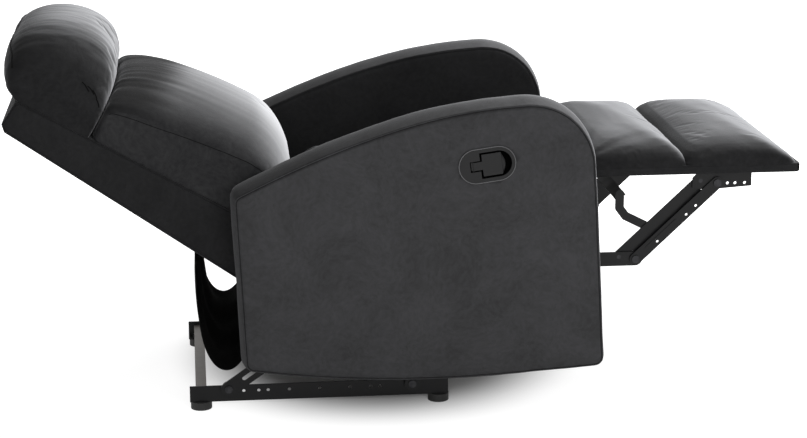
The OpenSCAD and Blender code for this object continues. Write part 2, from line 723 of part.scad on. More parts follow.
// Arm: a timber and foam core inside a padded cover
module arm_core_left() color(plywood) in_body() difference() {
    arm_core_shape();
    for (p = arm_bolt_points) pin(p, arm_inner, arm_inner + arm_padding + arm_bolt_reach, arm_bolt_radius);
}
module arm_core_right() color(plywood) difference() {
    right() arm_core_left();
    on_latch() translate([0, latch_depth + cup_clearance, 0]) rotate([90, 0, 0])
        linear_extrude(latch_depth) pocket_shape(latch_wall + cup_clearance);
    in_body() cable_channel();
}
module arm_cover_left() color(velvet) in_body() difference() {
    arm_skin();
    arm_core_shape();
    for (p = arm_bolt_points) pin(p, arm_inner - overrun, arm_inner + arm_padding + overrun, arm_bolt_radius);
}
module arm_cover_right() color(velvet) difference() {
    right() arm_cover_left();
    on_latch() plate(-overrun, arm_padding + overrun) pocket_shape(latch_wall);
    in_body() pin(cable_exit, -arm_inner - arm_padding - overrun, -arm_inner + overrun, cable_space);
}
// Bolts through the seat box into the arm cores, with collars between, and the hinge plates' own bolts
module seat_box_bolts() color(zinc) in_body() both() {
    for (p = arm_bolt_points) {
        pin(p, seat_inner - head_thickness, seat_inner, head_radius);
        pin(p, seat_inner, arm_inner + arm_padding + arm_bolt_reach, arm_bolt_radius);
        pin(p, p[0] > hinge_plate_end[0] ? seat_outer : hinge_outer, arm_inner, arm_bolt_collar);
    }
    pin(hinge_bolt, seat_inner, hinge_outer, hinge_bolt_radius);
    pin(hinge_bolt, seat_inner - head_thickness, seat_inner, head_radius);
}

// Latch plate with its finger pocket
module latch_bezel() color(plastic) on_latch() difference() {
    union() {
        plate(-latch_proud, 0) oval(latch_length, latch_height);
        plate(0, latch_depth) pocket_shape(latch_wall);
    }
    plate(-latch_proud - overrun, latch_depth - latch_wall) pocket_shape(0);
    translate([latch_hinge, latch_hinge_depth, -latch_pin_length / 2])
        cylinder(h = latch_pin_length, r = latch_pin_radius);
}
module latch_pin() color(zinc) on_latch() translate([latch_hinge, latch_hinge_depth, -latch_pin_length / 2])
    cylinder(h = latch_pin_length, r = latch_pin_radius);
// Pull paddle on the latch pin
module latch_paddle() color(plastic) on_latch() difference() {
    union() {
        plate(-paddle_thickness / 2, paddle_thickness / 2) {
            translate([paddle_rear, -paddle_half]) square([paddle_front - paddle_rear, 2 * paddle_half]);
            translate([latch_hinge, -paddle_stem_half])
                square([paddle_rear - latch_hinge, 2 * paddle_stem_half]);
        }
        translate([latch_hinge - barrel_radius, 0, -paddle_stem_half])
            cube([2 * barrel_radius, latch_hinge_depth, 2 * paddle_stem_half]);
        translate([latch_hinge, latch_hinge_depth, -paddle_stem_half])
            cylinder(h = 2 * paddle_stem_half, r = barrel_radius);
    }
    translate([latch_hinge, latch_hinge_depth, -latch_pin_length / 2])
        cylinder(h = latch_pin_length, r = latch_pin_radius + running_play);
}
module latch_cable() color(plastic) in_body() {
    n = len(cable_points) - 1;
    loft([for (i = [0:n])
        tube_ring(cable_points[i], unit(cable_points[min(i + 1, n)] - cable_points[max(i - 1, 0)]),
            cable_radius)]);
}

// Batten between the arms at the rear, and the cloth that hangs from the back to it
module rear_batten() color(plywood) in_body() translate([batten_at[0], -arm_inner, batten_at[1]])
    cube([batten_depth, 2 * arm_inner, batten_height]);
module rear_valance() color(lining) in_body() sheet(
    [for (i = [0:len(valance_line) - 1]) [for (j = [0:valance_columns]) valance_point(i, j, 0.5)]],
    [for (i = [0:len(valance_line) - 1]) [for (j = [0:valance_columns]) valance_point(i, j, -0.5)]]
);

// Back: plywood stiles and rails inside a padded cover
module back_stile() color(plywood) in_back() difference() {
    plate(back_half - cover_wall - stile_thickness, back_half - cover_wall)
        polygon(back_corners(cover_wall, cover_wall + strap_thickness));
    for (p = bracket_bolts) pin(p, back_half - cover_wall - stile_thickness, back_half, bracket_bolt_radius);
}
module back_stile_left() back_stile();
module back_stile_right() right() back_stile();
back_inner_half = back_half - cover_wall - stile_thickness;
module back_rails() color(plywood) in_back() for (z = back_rail_heights)
    translate([cover_wall - back_set, -back_inner_half, z])
        cube([z > back_rail_heights[1] ? back_rail_depth / 2 : back_rail_depth, 2 * back_inner_half, board]);
module back_straps() color(lining) on_front() for (z = back_strap_heights)
    translate([-cover_wall - strap_thickness, -back_half + cover_wall, z])
        cube([strap_thickness, 2 * (back_half - cover_wall), back_strap_width]);
module back_cover() color(velvet) in_back() difference() {
    loft([
        for (i = [0:edge_steps]) let (a = 90 * i / edge_steps)
            side_ring(inset_outline(back_outline, back_edge * (1 - sin(a))),
                -back_half + back_edge * (1 - cos(a))),
        for (i = [0:edge_steps]) let (a = 90 * i / edge_steps)
            side_ring(inset_outline(back_outline, back_edge * (1 - cos(a))),
                back_half - back_edge * (1 - sin(a)))
    ]);
    plate(cover_wall - back_half, back_half - cover_wall) polygon(back_corners(cover_wall, cover_wall));
    both() for (p = bracket_bolts)
        pin(p, back_half - cover_wall - overrun, back_half + overrun, bracket_bolt_radius);
}
// One ring of a cushion on the back: its side view, with the crown and the ends drawn in
module back_pad(outline, centre, half, crowns, ends) loft([
    for (i = [0:len(across_shares) - 1]) [
        for (p = outline) [
            max(soft_gap, centre[0] * (1 - ends[i]) + p[0] * crowns[i] * ends[i]),
            half * across_shares[i],
            centre[1] + (p[1] - centre[1]) * ends[i]
        ]
    ]
]);
module back_cushion() color(velvet) on_front()
    back_pad(curve(stretched(lumbar_spans, lumbar_drawn, [lumbar_depth, lumbar_length], 0), lumbar_steps),
        [0, lumbar_centre], lumbar_half, lumbar_crown_shares, lumbar_end_shares);
module headrest_cushion() color(velvet) on_front()
    back_pad(curve(stretched(headrest_spans, headrest_drawn, [headrest_depth, headrest_height],
        lumbar_length + headrest_gap), headrest_steps),
        headrest_centre, headrest_half, [for (s = across_shares) 1], headrest_end_shares);
module back_bracket() color(steel_black) in_back() plate(back_half, bracket_outer) difference() {
    bar([0, 0], bracket_end, bracket_radius);
    hole([0, 0], pin_radius + running_play);
    for (p = bracket_bolts) hole(p, bracket_bolt_radius);
}
module back_bracket_left() back_bracket();
module back_bracket_right() right() back_bracket();
bracket_head = 2;
module back_bracket_bolts() color(zinc) in_back() both() for (p = bracket_bolts) {
    pin(p, back_half - cover_wall - bracket_bolt_reach, bracket_outer, bracket_bolt_radius);
    pin(p, bracket_outer, bracket_outer + bracket_head, bracket_bolt_radius + bracket_head);
}

// Footrest arm, from the mechanism plate to the bars
module footrest_arm() color(steel_black) in_body() plate(arm_link_inner, arm_link_outer) difference() {
    bar(footrest_pivot, bar_pivot, arm_link_radius);
    hole(footrest_pivot, pin_radius + running_play);
    hole(bar_pivot, pin_radius);
    hole(rear_bar_pivot, pin_radius);
}
module footrest_arm_left() footrest_arm();
module footrest_arm_right() right() footrest_arm();
module footrest_arm_rivets() color(zinc) in_body() both() {
    pin(bar_pivot, arm_link_inner, link_outer, pin_radius);
    pin(bar_pivot, link_outer, link_outer + head_thickness, head_radius);
    pin(rear_bar_pivot, rear_bar_inner, arm_link_outer, pin_radius);
    pin(rear_bar_pivot, rear_bar_inner - head_thickness, rear_bar_inner, head_radius);
}
module front_bar() color(steel_black) in_body() plate(link_inner, link_outer) difference() {
    bar(bar_pivot, panel_pivot, front_bar_radius);
    for (d = front_bar_holes)
        hole(bar_pivot + ray(d, bar_slope) - ray(front_bar_hole_drop, bar_slope + 90), front_bar_hole_radius);
    hole(bar_pivot, pin_radius + running_play);
    hole(panel_pivot, pin_radius + running_play);
}
module front_bar_left() front_bar();
module front_bar_right() right() front_bar();
module rear_bar() color(steel_black) in_body() plate(rear_bar_inner, rear_bar_outer) difference() {
    bar(rear_bar_pivot, panel_rear_pivot, rear_bar_radius);
    hole(rear_bar_pivot, pin_radius + running_play);
    hole(panel_rear_pivot, pin_radius + footrest_play);
}
module rear_bar_left() rear_bar();
module rear_bar_right() right() rear_bar();
// Cranked brackets on the rear bars, and the flat stretcher that joins them
module stretcher_brackets() color(steel_black) in_body() both() plate(stretcher_inner, rear_bar_inner)
    translate(rear_bar_pivot) for (i = [0:len(stretcher_points) - 2])
        bar(stretcher_points[i], stretcher_points[i + 1], stretcher_radius);
module footrest_stretcher() color(steel_black) in_body() plate(-stretcher_inner, stretcher_inner)
    translate(rear_bar_pivot + stretcher_bar_at) rotate(footrest_bar_angle - seat_slope)
        translate([-stretcher_bar_width / 2, -steel / 2]) square([stretcher_bar_width, steel]);

// Footrest panel: a board on two angle brackets, with two pads
module footrest_bracket() color(steel_black) in_panel() difference() {
    union() {
        plate(arm_link_inner, arm_link_outer) polygon(panel_plate);
        translate([panel_plate[2][0], arm_link_outer - bracket_flange, board_base - steel])
            cube([panel_plate[3][0] - panel_plate[2][0], bracket_flange, steel]);
    }
    for (p = panel_holes) pin(p, arm_link_inner - overrun, arm_link_outer + overrun, panel_hole_radius);
    pin([0, 0], arm_link_inner - overrun, arm_link_outer + overrun, pin_radius);
    pin(turn(bar_offset, body_tilt), arm_link_inner - overrun, arm_link_outer + overrun, pin_radius);
    for (x = [panel_screw_rear, panel_screw_front])
        translate([x, panel_screw_y, board_base - steel - overrun])
        cylinder(h = steel + 2 * overrun, r = panel_screw_radius);
}
panel_screw_rear = -8;
panel_screw_front = 50;
panel_screw_y = arm_link_outer - bracket_flange / 2;
panel_screw_radius = 3;
panel_screw_reach = 9;
module footrest_bracket_left() footrest_bracket();
module footrest_bracket_right() right() footrest_bracket();
module footrest_rivets() color(zinc) in_panel() both() {
    pin([0, 0], arm_link_inner, link_outer, pin_radius);
    pin([0, 0], link_outer, link_outer + head_thickness, head_radius);
    pin(turn(bar_offset, body_tilt), rear_bar_inner, arm_link_outer, pin_radius);
    pin(turn(bar_offset, body_tilt), rear_bar_inner - head_thickness, rear_bar_inner, head_radius);
    for (x = [panel_screw_rear, panel_screw_front]) translate([x, panel_screw_y, board_base - steel]) {
        cylinder(h = steel + panel_screw_reach, r = panel_screw_radius);
        translate([0, 0, -head_thickness]) cylinder(h = head_thickness, r = 2 * panel_screw_radius);
    }
}
module footrest_board() color(plywood) in_panel() difference() {
    translate([panel_rear, -footrest_width / 2, board_base])
        cube([footrest_length, footrest_width, board_thickness]);
    both() for (x = [panel_screw_rear, panel_screw_front]) translate([x, panel_screw_y, board_base - overrun])
        cylinder(h = panel_screw_reach + overrun, r = panel_screw_radius);
}
module footrest_pad(x0, x1, rear, toe) color(velvet) in_panel()
    translate([(x0 + x1) / 2, 0, board_base + board_thickness + soft_gap])
        pad((x1 - x0) / 2, footrest_pad_width / 2, pad_thickness - board_thickness, rear, toe);
module footrest_upper_cushion()
    footrest_pad(panel_rear, panel_rear + upper_pad_length, upper_pad_rear_share, 1);
module footrest_lower_cushion()
    footrest_pad(panel_rear + upper_pad_length + pad_gap, panel_front + toe_overhang, 1, lower_pad_toe_share);

base_rail_left();
base_rail_right();
base_cross_tubes();
base_feet();
base_bolts();
base_pivot_studs();
rear_lift_link_left();
rear_lift_link_right();
front_lift_link_left();
front_lift_link_right();
mechanism_plate_left();
mechanism_plate_right();
body_pivot_studs();
mechanism_cross_tubes();
hinge_plate_left();
hinge_plate_right();
back_hinge_pins();
seat_side_rail_left();
seat_side_rail_right();
seat_front_rail();
seat_rear_rail();
seat_straps();
seat_cushion();
arm_core_left();
arm_core_right();
arm_cover_left();
arm_cover_right();
seat_box_bolts();
latch_bezel();
latch_pin();
latch_paddle();
latch_cable();
rear_batten();
rear_valance();
back_stile_left();
back_stile_right();
back_rails();
back_straps();
back_cover();
back_cushion();
headrest_cushion();
back_bracket_left();
back_bracket_right();
back_bracket_bolts();
footrest_arm_left();
footrest_arm_right();
footrest_arm_rivets();
front_bar_left();
front_bar_right();
rear_bar_left();
rear_bar_right();
stretcher_brackets();
footrest_stretcher();
footrest_bracket_left();
footrest_bracket_right();
footrest_rivets();
footrest_board();
footrest_upper_cushion();
footrest_lower_cushion();
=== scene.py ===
import math

import bmesh
import bpy
import numpy as np
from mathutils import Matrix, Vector, noise
from mathutils.bvhtree import BVHTree


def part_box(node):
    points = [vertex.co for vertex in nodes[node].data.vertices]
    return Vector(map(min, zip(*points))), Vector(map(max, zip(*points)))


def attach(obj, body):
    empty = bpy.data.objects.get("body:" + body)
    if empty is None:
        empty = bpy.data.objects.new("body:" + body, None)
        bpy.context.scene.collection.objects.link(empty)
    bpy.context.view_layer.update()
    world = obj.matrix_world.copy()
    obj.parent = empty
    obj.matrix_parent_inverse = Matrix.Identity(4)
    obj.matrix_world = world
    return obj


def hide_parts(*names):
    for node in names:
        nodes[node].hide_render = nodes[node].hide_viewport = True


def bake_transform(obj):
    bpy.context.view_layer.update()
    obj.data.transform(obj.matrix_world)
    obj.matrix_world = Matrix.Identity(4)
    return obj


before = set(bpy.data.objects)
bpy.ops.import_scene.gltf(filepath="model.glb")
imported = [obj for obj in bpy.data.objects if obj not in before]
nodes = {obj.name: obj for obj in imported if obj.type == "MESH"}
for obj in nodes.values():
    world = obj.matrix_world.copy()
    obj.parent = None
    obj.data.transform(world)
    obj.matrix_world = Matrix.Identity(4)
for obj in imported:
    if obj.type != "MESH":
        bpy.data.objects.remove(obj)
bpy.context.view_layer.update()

scene = bpy.context.scene
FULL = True

# Camera: a long lens a little behind the chair's right side, looking down on it by fifteen degrees.
# The place and the lens were solved from the photograph's straight edges.
photo_width, focal_pixels = 807, 2034.86
lens = bpy.data.cameras.new("side_camera")
lens.sensor_width = 36.0
lens.lens = focal_pixels / photo_width * lens.sensor_width
lens.clip_start, lens.clip_end = 0.1, 60.0
camera = bpy.data.objects.new("side_camera", lens)
scene.collection.objects.link(camera)
look_turn, look_down = math.radians(6.134), math.radians(15.0015)
level = math.cos(look_down)
ahead = Vector((math.sin(look_turn) * level, math.cos(look_turn) * level, -math.sin(look_down)))
camera.location = (-0.4125, -3.9316, 1.3740)
camera.rotation_mode = "QUATERNION"
camera.rotation_quaternion = ahead.to_track_quat("-Z", "Y")
scene.camera = camera

# Studio: a pale seamless floor under a wide overhead softbox, with a weaker one behind the camera.
# The floor turns to plain white for the camera away from the chair and keeps the chair's shadow.
scene.view_settings.view_transform = "Standard"


def colour(text):
    """An sRGB hex value as linear red, green, blue and alpha."""
    parts = [int(text[i:i + 2], 16) / 255 for i in (1, 3, 5)]
    return tuple(p / 12.92 if p <= 0.04045 else ((p + 0.055) / 1.055) ** 2.4 for p in parts) + (1.0,)


def add(tree, kind, inputs=None):
    """Adds a shader node, and sets or links its inputs and sets its properties.

    kind may end in a point and an operation. A socket is linked, and of a node its first output.
    """
    kind, _, operation = kind.partition(".")
    made = tree.nodes.new("ShaderNode" + kind)
    if operation:
        made.operation = operation
    for key, value in (inputs or {}).items():
        if isinstance(value, bpy.types.Node):
            value = value.outputs[0]
        if isinstance(value, bpy.types.NodeSocket):
            tree.links.new(value, made.inputs[key])
        elif isinstance(key, int) or key in made.inputs:
            made.inputs[key].default_value = value
        else:
            setattr(made, key, value)
    return made


def blank(name):
    """A new material, its empty node tree, and the piece's own coordinates in it."""
    made = bpy.data.materials.new(name)
    made.use_nodes = True
    tree = made.node_tree
    tree.nodes.clear()
    return made, tree, add(tree, "TexCoord").outputs["Object"]


floor_paint, tree, where = blank("matt_white_studio_floor")
paint = add(tree, "BsdfDiffuse", {"Color": colour("#b6b6b6"), "Roughness": 1.0})
eased = {"interpolation_type": "SMOOTHSTEP"}
# An oval under the chair, 0.8 m by 0.84 m, outside which the floor's own light starts; inside it the grey
# floor goes without that light, a painted shadow that deepens the cast one
oval = add(tree, "Mapping", {"Location": (0.04 / 0.40, -0.10 / 0.42, 0), "Scale": (1 / 0.40, 1 / 0.42, 1),
            "Vector": where})
near = add(tree, "VectorMath.LENGTH", {0: oval})
edge = add(tree, "MapRange", {**eased, "From Min": 0.60, "From Max": 1.10, "To Max": 0.85,
            "Value": near.outputs["Value"]})
away = add(tree, "VectorMath.LENGTH", {0: where})
fade = add(tree, "MapRange", {**eased, "From Min": 0.8, "From Max": 1.5, "To Max": 0.4,
            "Value": away.outputs["Value"]})
total = add(tree, "Math.ADD", {0: edge, 1: fade})
glow = add(tree, "Emission", {"Color": (1, 1, 1, 1), "Strength": total})
both = add(tree, "AddShader", {0: paint, 1: glow})


def looked_at(tree):
    """One for rays that come from the camera, or from it by way of a mirror or a clear body."""
    seen = add(tree, "LightPath").outputs
    either = add(tree, "Math.MAXIMUM", {0: seen["Is Camera Ray"], 1: seen["Is Glossy Ray"]})
    return add(tree, "Math.MAXIMUM", {0: either, 1: seen["Is Transmission Ray"]})


lift = add(tree, "MixShader", {0: looked_at(tree), 1: paint, 2: both})
add(tree, "OutputMaterial", {"Surface": lift})


def new_piece(name, points, faces, *materials):
    """An object of its own mesh, from points, faces and the materials in their order."""
    made = bpy.data.meshes.new(name)
    made.from_pydata(points, [], faces)
    for material in materials:
        made.materials.append(material)
    piece = bpy.data.objects.new(name, made)
    scene.collection.objects.link(piece)
    return piece


floor_corners = [(-14, -14, 0), (14, -14, 0), (14, 14, 0), (-14, 14, 0)]
floor = new_piece("studio_floor", floor_corners, [(0, 1, 2, 3)], floor_paint)

world = bpy.data.worlds.new("studio_air")
scene.world = world
world.use_nodes = True
tree = world.node_tree
tree.nodes.clear()
fill = add(tree, "Background", {"Color": (1, 1, 1, 1), "Strength": 0.30})
white = add(tree, "Background", {"Color": (1, 1, 1, 1), "Strength": 1.0})
pick = add(tree, "MixShader", {0: looked_at(tree), 1: fill, 2: white})
add(tree, "OutputWorld", {"Surface": pick})
for name, place, aim, width, height, watts in (
    ("overhead_softbox", (1.5, 1.3, 2.7), (0.0, 0.0, 0.4), 2.2, 1.6, 120.0),
    ("rear_softbox", (2.9, 1.6, 1.5), (0.1, 0.0, 0.5), 1.2, 1.6, 34.0),
    ("camera_side_softbox", (0.2, -3.6, 1.2), (0.1, 0.0, 0.4), 2.6, 1.6, 32.0),
):
    lamp = bpy.data.lights.new(name, "AREA")
    lamp.shape = "RECTANGLE"
    lamp.size, lamp.size_y, lamp.energy = width, height, watts
    box = bpy.data.objects.new(name, lamp)
    box.location = place
    box.rotation_mode = "QUATERNION"
    box.rotation_quaternion = (Vector(aim) - Vector(place)).to_track_quat("-Z", "Y")
    scene.collection.objects.link(box)

# Floor frame, lift links and side plates: pressed mild steel strip, punched and then coated black.
# The thin coat keeps a satin gleam with a faint orange peel, and shows a little wear on its high spots.


def coated(name, low, high, drift, shell, gloss=None, grain=None, press=None, dark=None):
    """A material whose tone, and gloss if given, drift with one noise, over the bump of a finer one.

    dark is two distances along the piece's Y, between which the tone falls to near black, a painted shade.
    """
    made, tree, where = blank(name)
    cloud = add(tree, "TexNoise", {**drift, "Vector": where})
    tone = add(tree, "Mix", {"data_type": "RGBA", 6: colour(low), 7: colour(high), 0: cloud})
    if dark:
        apart = add(tree, "SeparateXYZ", {0: where})
        depth = add(tree, "MapRange", {"From Min": dark[0], "From Max": dark[1], "Value": apart.outputs["Y"]})
        # Painted shade: between the two distances the tone is mixed to near black, and past them it stays so
        tone = add(tree, "Mix", {"data_type": "RGBA", 7: colour("#020202"), 0: depth, 6: tone.outputs[2]})
    links = {"Base Color": tone.outputs[2]}
    if gloss:
        links["Roughness"] = add(tree, "MapRange", {**gloss, "Value": cloud})
    if grain:
        bumps = add(tree, "TexNoise", {**grain, "Vector": where})
        links["Normal"] = add(tree, "Bump", {**press, "Height": bumps})
    coat = add(tree, "BsdfPrincipled", {**shell, **links})
    add(tree, "OutputMaterial", {"Surface": coat})
    return made


# The coat's peel repeats every 2 mm, drawn coarser than the real 0.5 mm so that it shows
black_steel = coated(
    "satin_black_coated_steel", "#0b0b0c", "#161617", {"Scale": 28.0, "Detail": 4.0},
    {"IOR": 1.5, "Specular IOR Level": 0.2}, gloss={"From Min": 0.3, "From Max": 0.7, "To Min": 0.32, "To Max": 0.46},
    grain={"Scale": 500.0, "Detail": 3.0}, press={"Strength": 0.12, "Distance": 0.0004},
)


def skin_of(name, rings, material, tips=True, flat=False, smooth=True):
    """A closed skin through rings of world points, with a point or one flat face at each end."""
    rings = np.asarray(rings, float)
    count, around = rings.shape[:2]
    points = rings.reshape(-1, 3).tolist()
    faces = []
    for i in range(count - 1):
        for j in range(around):
            k = (j + 1) % around
            faces.append((i * around + j, i * around + k, (i + 1) * around + k, (i + 1) * around + j))
    if flat:
        faces += [tuple(range(around)), tuple(range((count - 1) * around, count * around))]
    elif tips:
        points += [rings[0].mean(0).tolist(), rings[-1].mean(0).tolist()]
        for j in range(around):
            k = (j + 1) % around
            faces.append((count * around, k, j))
            faces.append((count * around + 1, (count - 1) * around + j, (count - 1) * around + k))
    piece = new_piece(name, points, faces, material)
    shape = bmesh.new()
    shape.from_mesh(piece.data)
    bmesh.ops.recalc_face_normals(shape, faces=shape.faces)
    shape.to_mesh(piece.data)
    shape.free()
    piece.data.polygons.foreach_set("use_smooth", [smooth] * len(faces))
    return piece


def finish_nodes(material, *names):
    """Gives CAD pieces their finish, with a fine bevel that catches light as a sheared edge does."""
    for name in names:
        piece = nodes[name]
        piece.data.materials.clear()
        piece.data.materials.append(material)
        edge = piece.modifiers.new("broken_edge", "BEVEL")
        edge.limit_method = "ANGLE"
        edge.angle_limit = math.radians(40)
        edge.width = 0.0004
        edge.segments = 2


def pairs(*names):
    """The left and the right piece of each name."""
    return [f"{name}_{side}" for name in names for side in ("left", "right")]


finish_nodes(
    black_steel, "mechanism_cross_tubes", "stretcher_brackets", "footrest_stretcher",
    *pairs("base_rail", "rear_lift_link", "front_lift_link", "mechanism_plate", "hinge_plate", "back_bracket",
           "footrest_arm", "front_bar", "rear_bar", "footrest_bracket"),
)


def at_y(points, y):
    """Side-view points set across the chair at y, one value or one a point."""
    points = np.asarray(points, float)
    return np.stack([points[:, 0], np.broadcast_to(y, (len(points),)), points[:, 1]], 1)


def flat_steel(name, outline, depth, body):
    """A pressed strip from its side-view outline and its two depths across the chair."""
    strip = skin_of(name, [at_y(outline, y) for y in depth], black_steel, smooth=False)
    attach(strip, body)


bar_slope = math.radians(43.5)


def bar_points(start, points):
    """Side-view points given along a footrest bar and across it toward the floor."""
    c, s = math.cos(bar_slope), math.sin(bar_slope)
    return [(start[0] + a * c + b * s, start[1] + a * s - b * c) for a, b in points]


both_sides = (("left", 1), ("right", -1))
# The rear bar's turned flange, and the rib pressed into the front bar's face to stiffen it
flange = bar_points((0.406945, 0.282958), [(0.022, 0.006), (0.207, 0.006), (0.204, 0.015), (0.190, 0.0225),
                                           (0.150, 0.0225), (0.045, 0.021), (0.030, 0.017)])
rib = bar_points((0.438945, 0.278958), [(0.030, -0.0046), (0.108, -0.0046), (0.110, -0.0032), (0.108, -0.0018),
                                        (0.030, -0.0018), (0.028, -0.0032)])
for label, side in both_sides:
    flat_steel(f"rear_bar_flange_{label}", flange, (side * 0.2044, side * 0.2066), "rear_bars")
    flat_steel(f"front_bar_rib_{label}", rib, (side * 0.2145, side * 0.2162), "front_bars")

# Cross tubes of the floor frame: thin square steel tube in a warm grey-brown paint.
# The paint is flatter than the black coat and a little dusty on top.
dust = {"Scale": 60.0, "Detail": 5.0, "Roughness": 0.6}
brown_paint = coated("grey_brown_painted_tube", "#8b8580", "#a39d97", dust, {"Roughness": 0.45, "IOR": 1.5},
                     grain=dust, press={"Strength": 0.1, "Distance": 0.0004})
finish_nodes(brown_paint, "base_cross_tubes")

# Studs, rivets and bolts: turned steel with a black oxide finish, worn to bare metal on the heads.
# Oxide is thin, so the metal still shines through it.
oxide = coated("black_oxide_steel", "#1d1d1e", "#414143", {"Scale": 140.0, "Detail": 4.0}, {"Metallic": 1.0},
               gloss={"To Min": 0.28, "To Max": 0.5})
finish_nodes(
    oxide, "base_bolts", "base_pivot_studs", "body_pivot_studs", "back_hinge_pins", "seat_box_bolts", "latch_pin",
    "back_bracket_bolts", "footrest_arm_rivets", "footrest_rivets",
)

# Feet: moulded rubber discs, matt with a slight bloom on the surface.
rubber = coated("moulded_black_rubber", "#1a1a1a", "#262625", {"Scale": 45.0, "Detail": 3.0},
                {"Roughness": 0.72, "IOR": 1.52}, grain={"Scale": 900.0, "Detail": 2.0},
                press={"Strength": 0.25, "Distance": 0.0003})
finish_nodes(rubber, "base_feet")

# The seat's rear rail, the batten, and the frames of arms and back: raw birch plywood, its grain along the rail.
# The face veneer is pale with fine darker lines a few millimetres apart.
plywood, tree, where = blank("raw_birch_plywood")
stretch = add(tree, "Mapping", {"Scale": (6.0, 6.0, 90.0), "Vector": where})
figure = add(tree, "TexNoise", {"Scale": 3.0, "Detail": 6.0, "Roughness": 0.6, "Distortion": 0.8, "Vector": stretch})
ramp = add(tree, "ValToRGB", {0: figure})
for stop, place, tone in zip(ramp.color_ramp.elements, (0.35, 0.66), ("#a8845a", "#cfb083")):
    stop.position, stop.color = place, colour(tone)
bump = add(tree, "Bump", {"Strength": 0.2, "Distance": 0.0005, "Height": figure})
veneer = add(tree, "BsdfPrincipled", {"Roughness": 0.62, "IOR": 1.5, "Base Color": ramp, "Normal": bump})
add(tree, "OutputMaterial", {"Surface": veneer})
finish_nodes(plywood, "seat_rear_rail", "rear_batten", "back_rails", *pairs("back_stile", "arm_core"))

# Black lining: thin woven polyester, used for the hanging cloth, the wrapped boards and the webbing.
# Its threads lie 0.4 mm apart, drawn at 1.2 mm so that the weave shows.
lining, tree, where = blank("woven_black_lining")
warp, weft = (add(tree, "TexWave", {"bands_direction": axis, "Scale": 260.0, "Distortion": 0.6, "Vector": where})
              for axis in "YZ")
weave = add(tree, "Math.MULTIPLY", {0: warp.outputs[1], 1: weft.outputs[1]})
cloud = add(tree, "TexNoise", {"Scale": 14.0, "Detail": 3.0, "Vector": where})
tone = add(tree, "Mix", {"data_type": "RGBA", 6: colour("#030303"), 7: colour("#080808"), 0: cloud})
bump = add(tree, "Bump", {"Strength": 0.35, "Distance": 0.0006, "Height": weave})
cloth = add(tree, "BsdfPrincipled", {"Roughness": 1.0, "Specular IOR Level": 0.05,
             "Base Color": tone.outputs[2], "Normal": bump})
add(tree, "OutputMaterial", {"Surface": cloth})
finish_nodes(lining, "seat_front_rail", "seat_straps", "back_straps", "footrest_board", *pairs("seat_side_rail"))

# Charcoal velvet: a short polyester pile on a knitted back. The pile lies in brushed patches, so its tone
# shifts softly over the face. A painted sheen brightens it sharply where it is seen from the side, and slopes
# that face one way are painted lighter, as lit from there, and upward slopes that face away darker, as shade.
# Where the pile turns over it is painted dark as shade, and the edge is ragged, in streaks up to 90 mm long.
streak_reach = 0.09


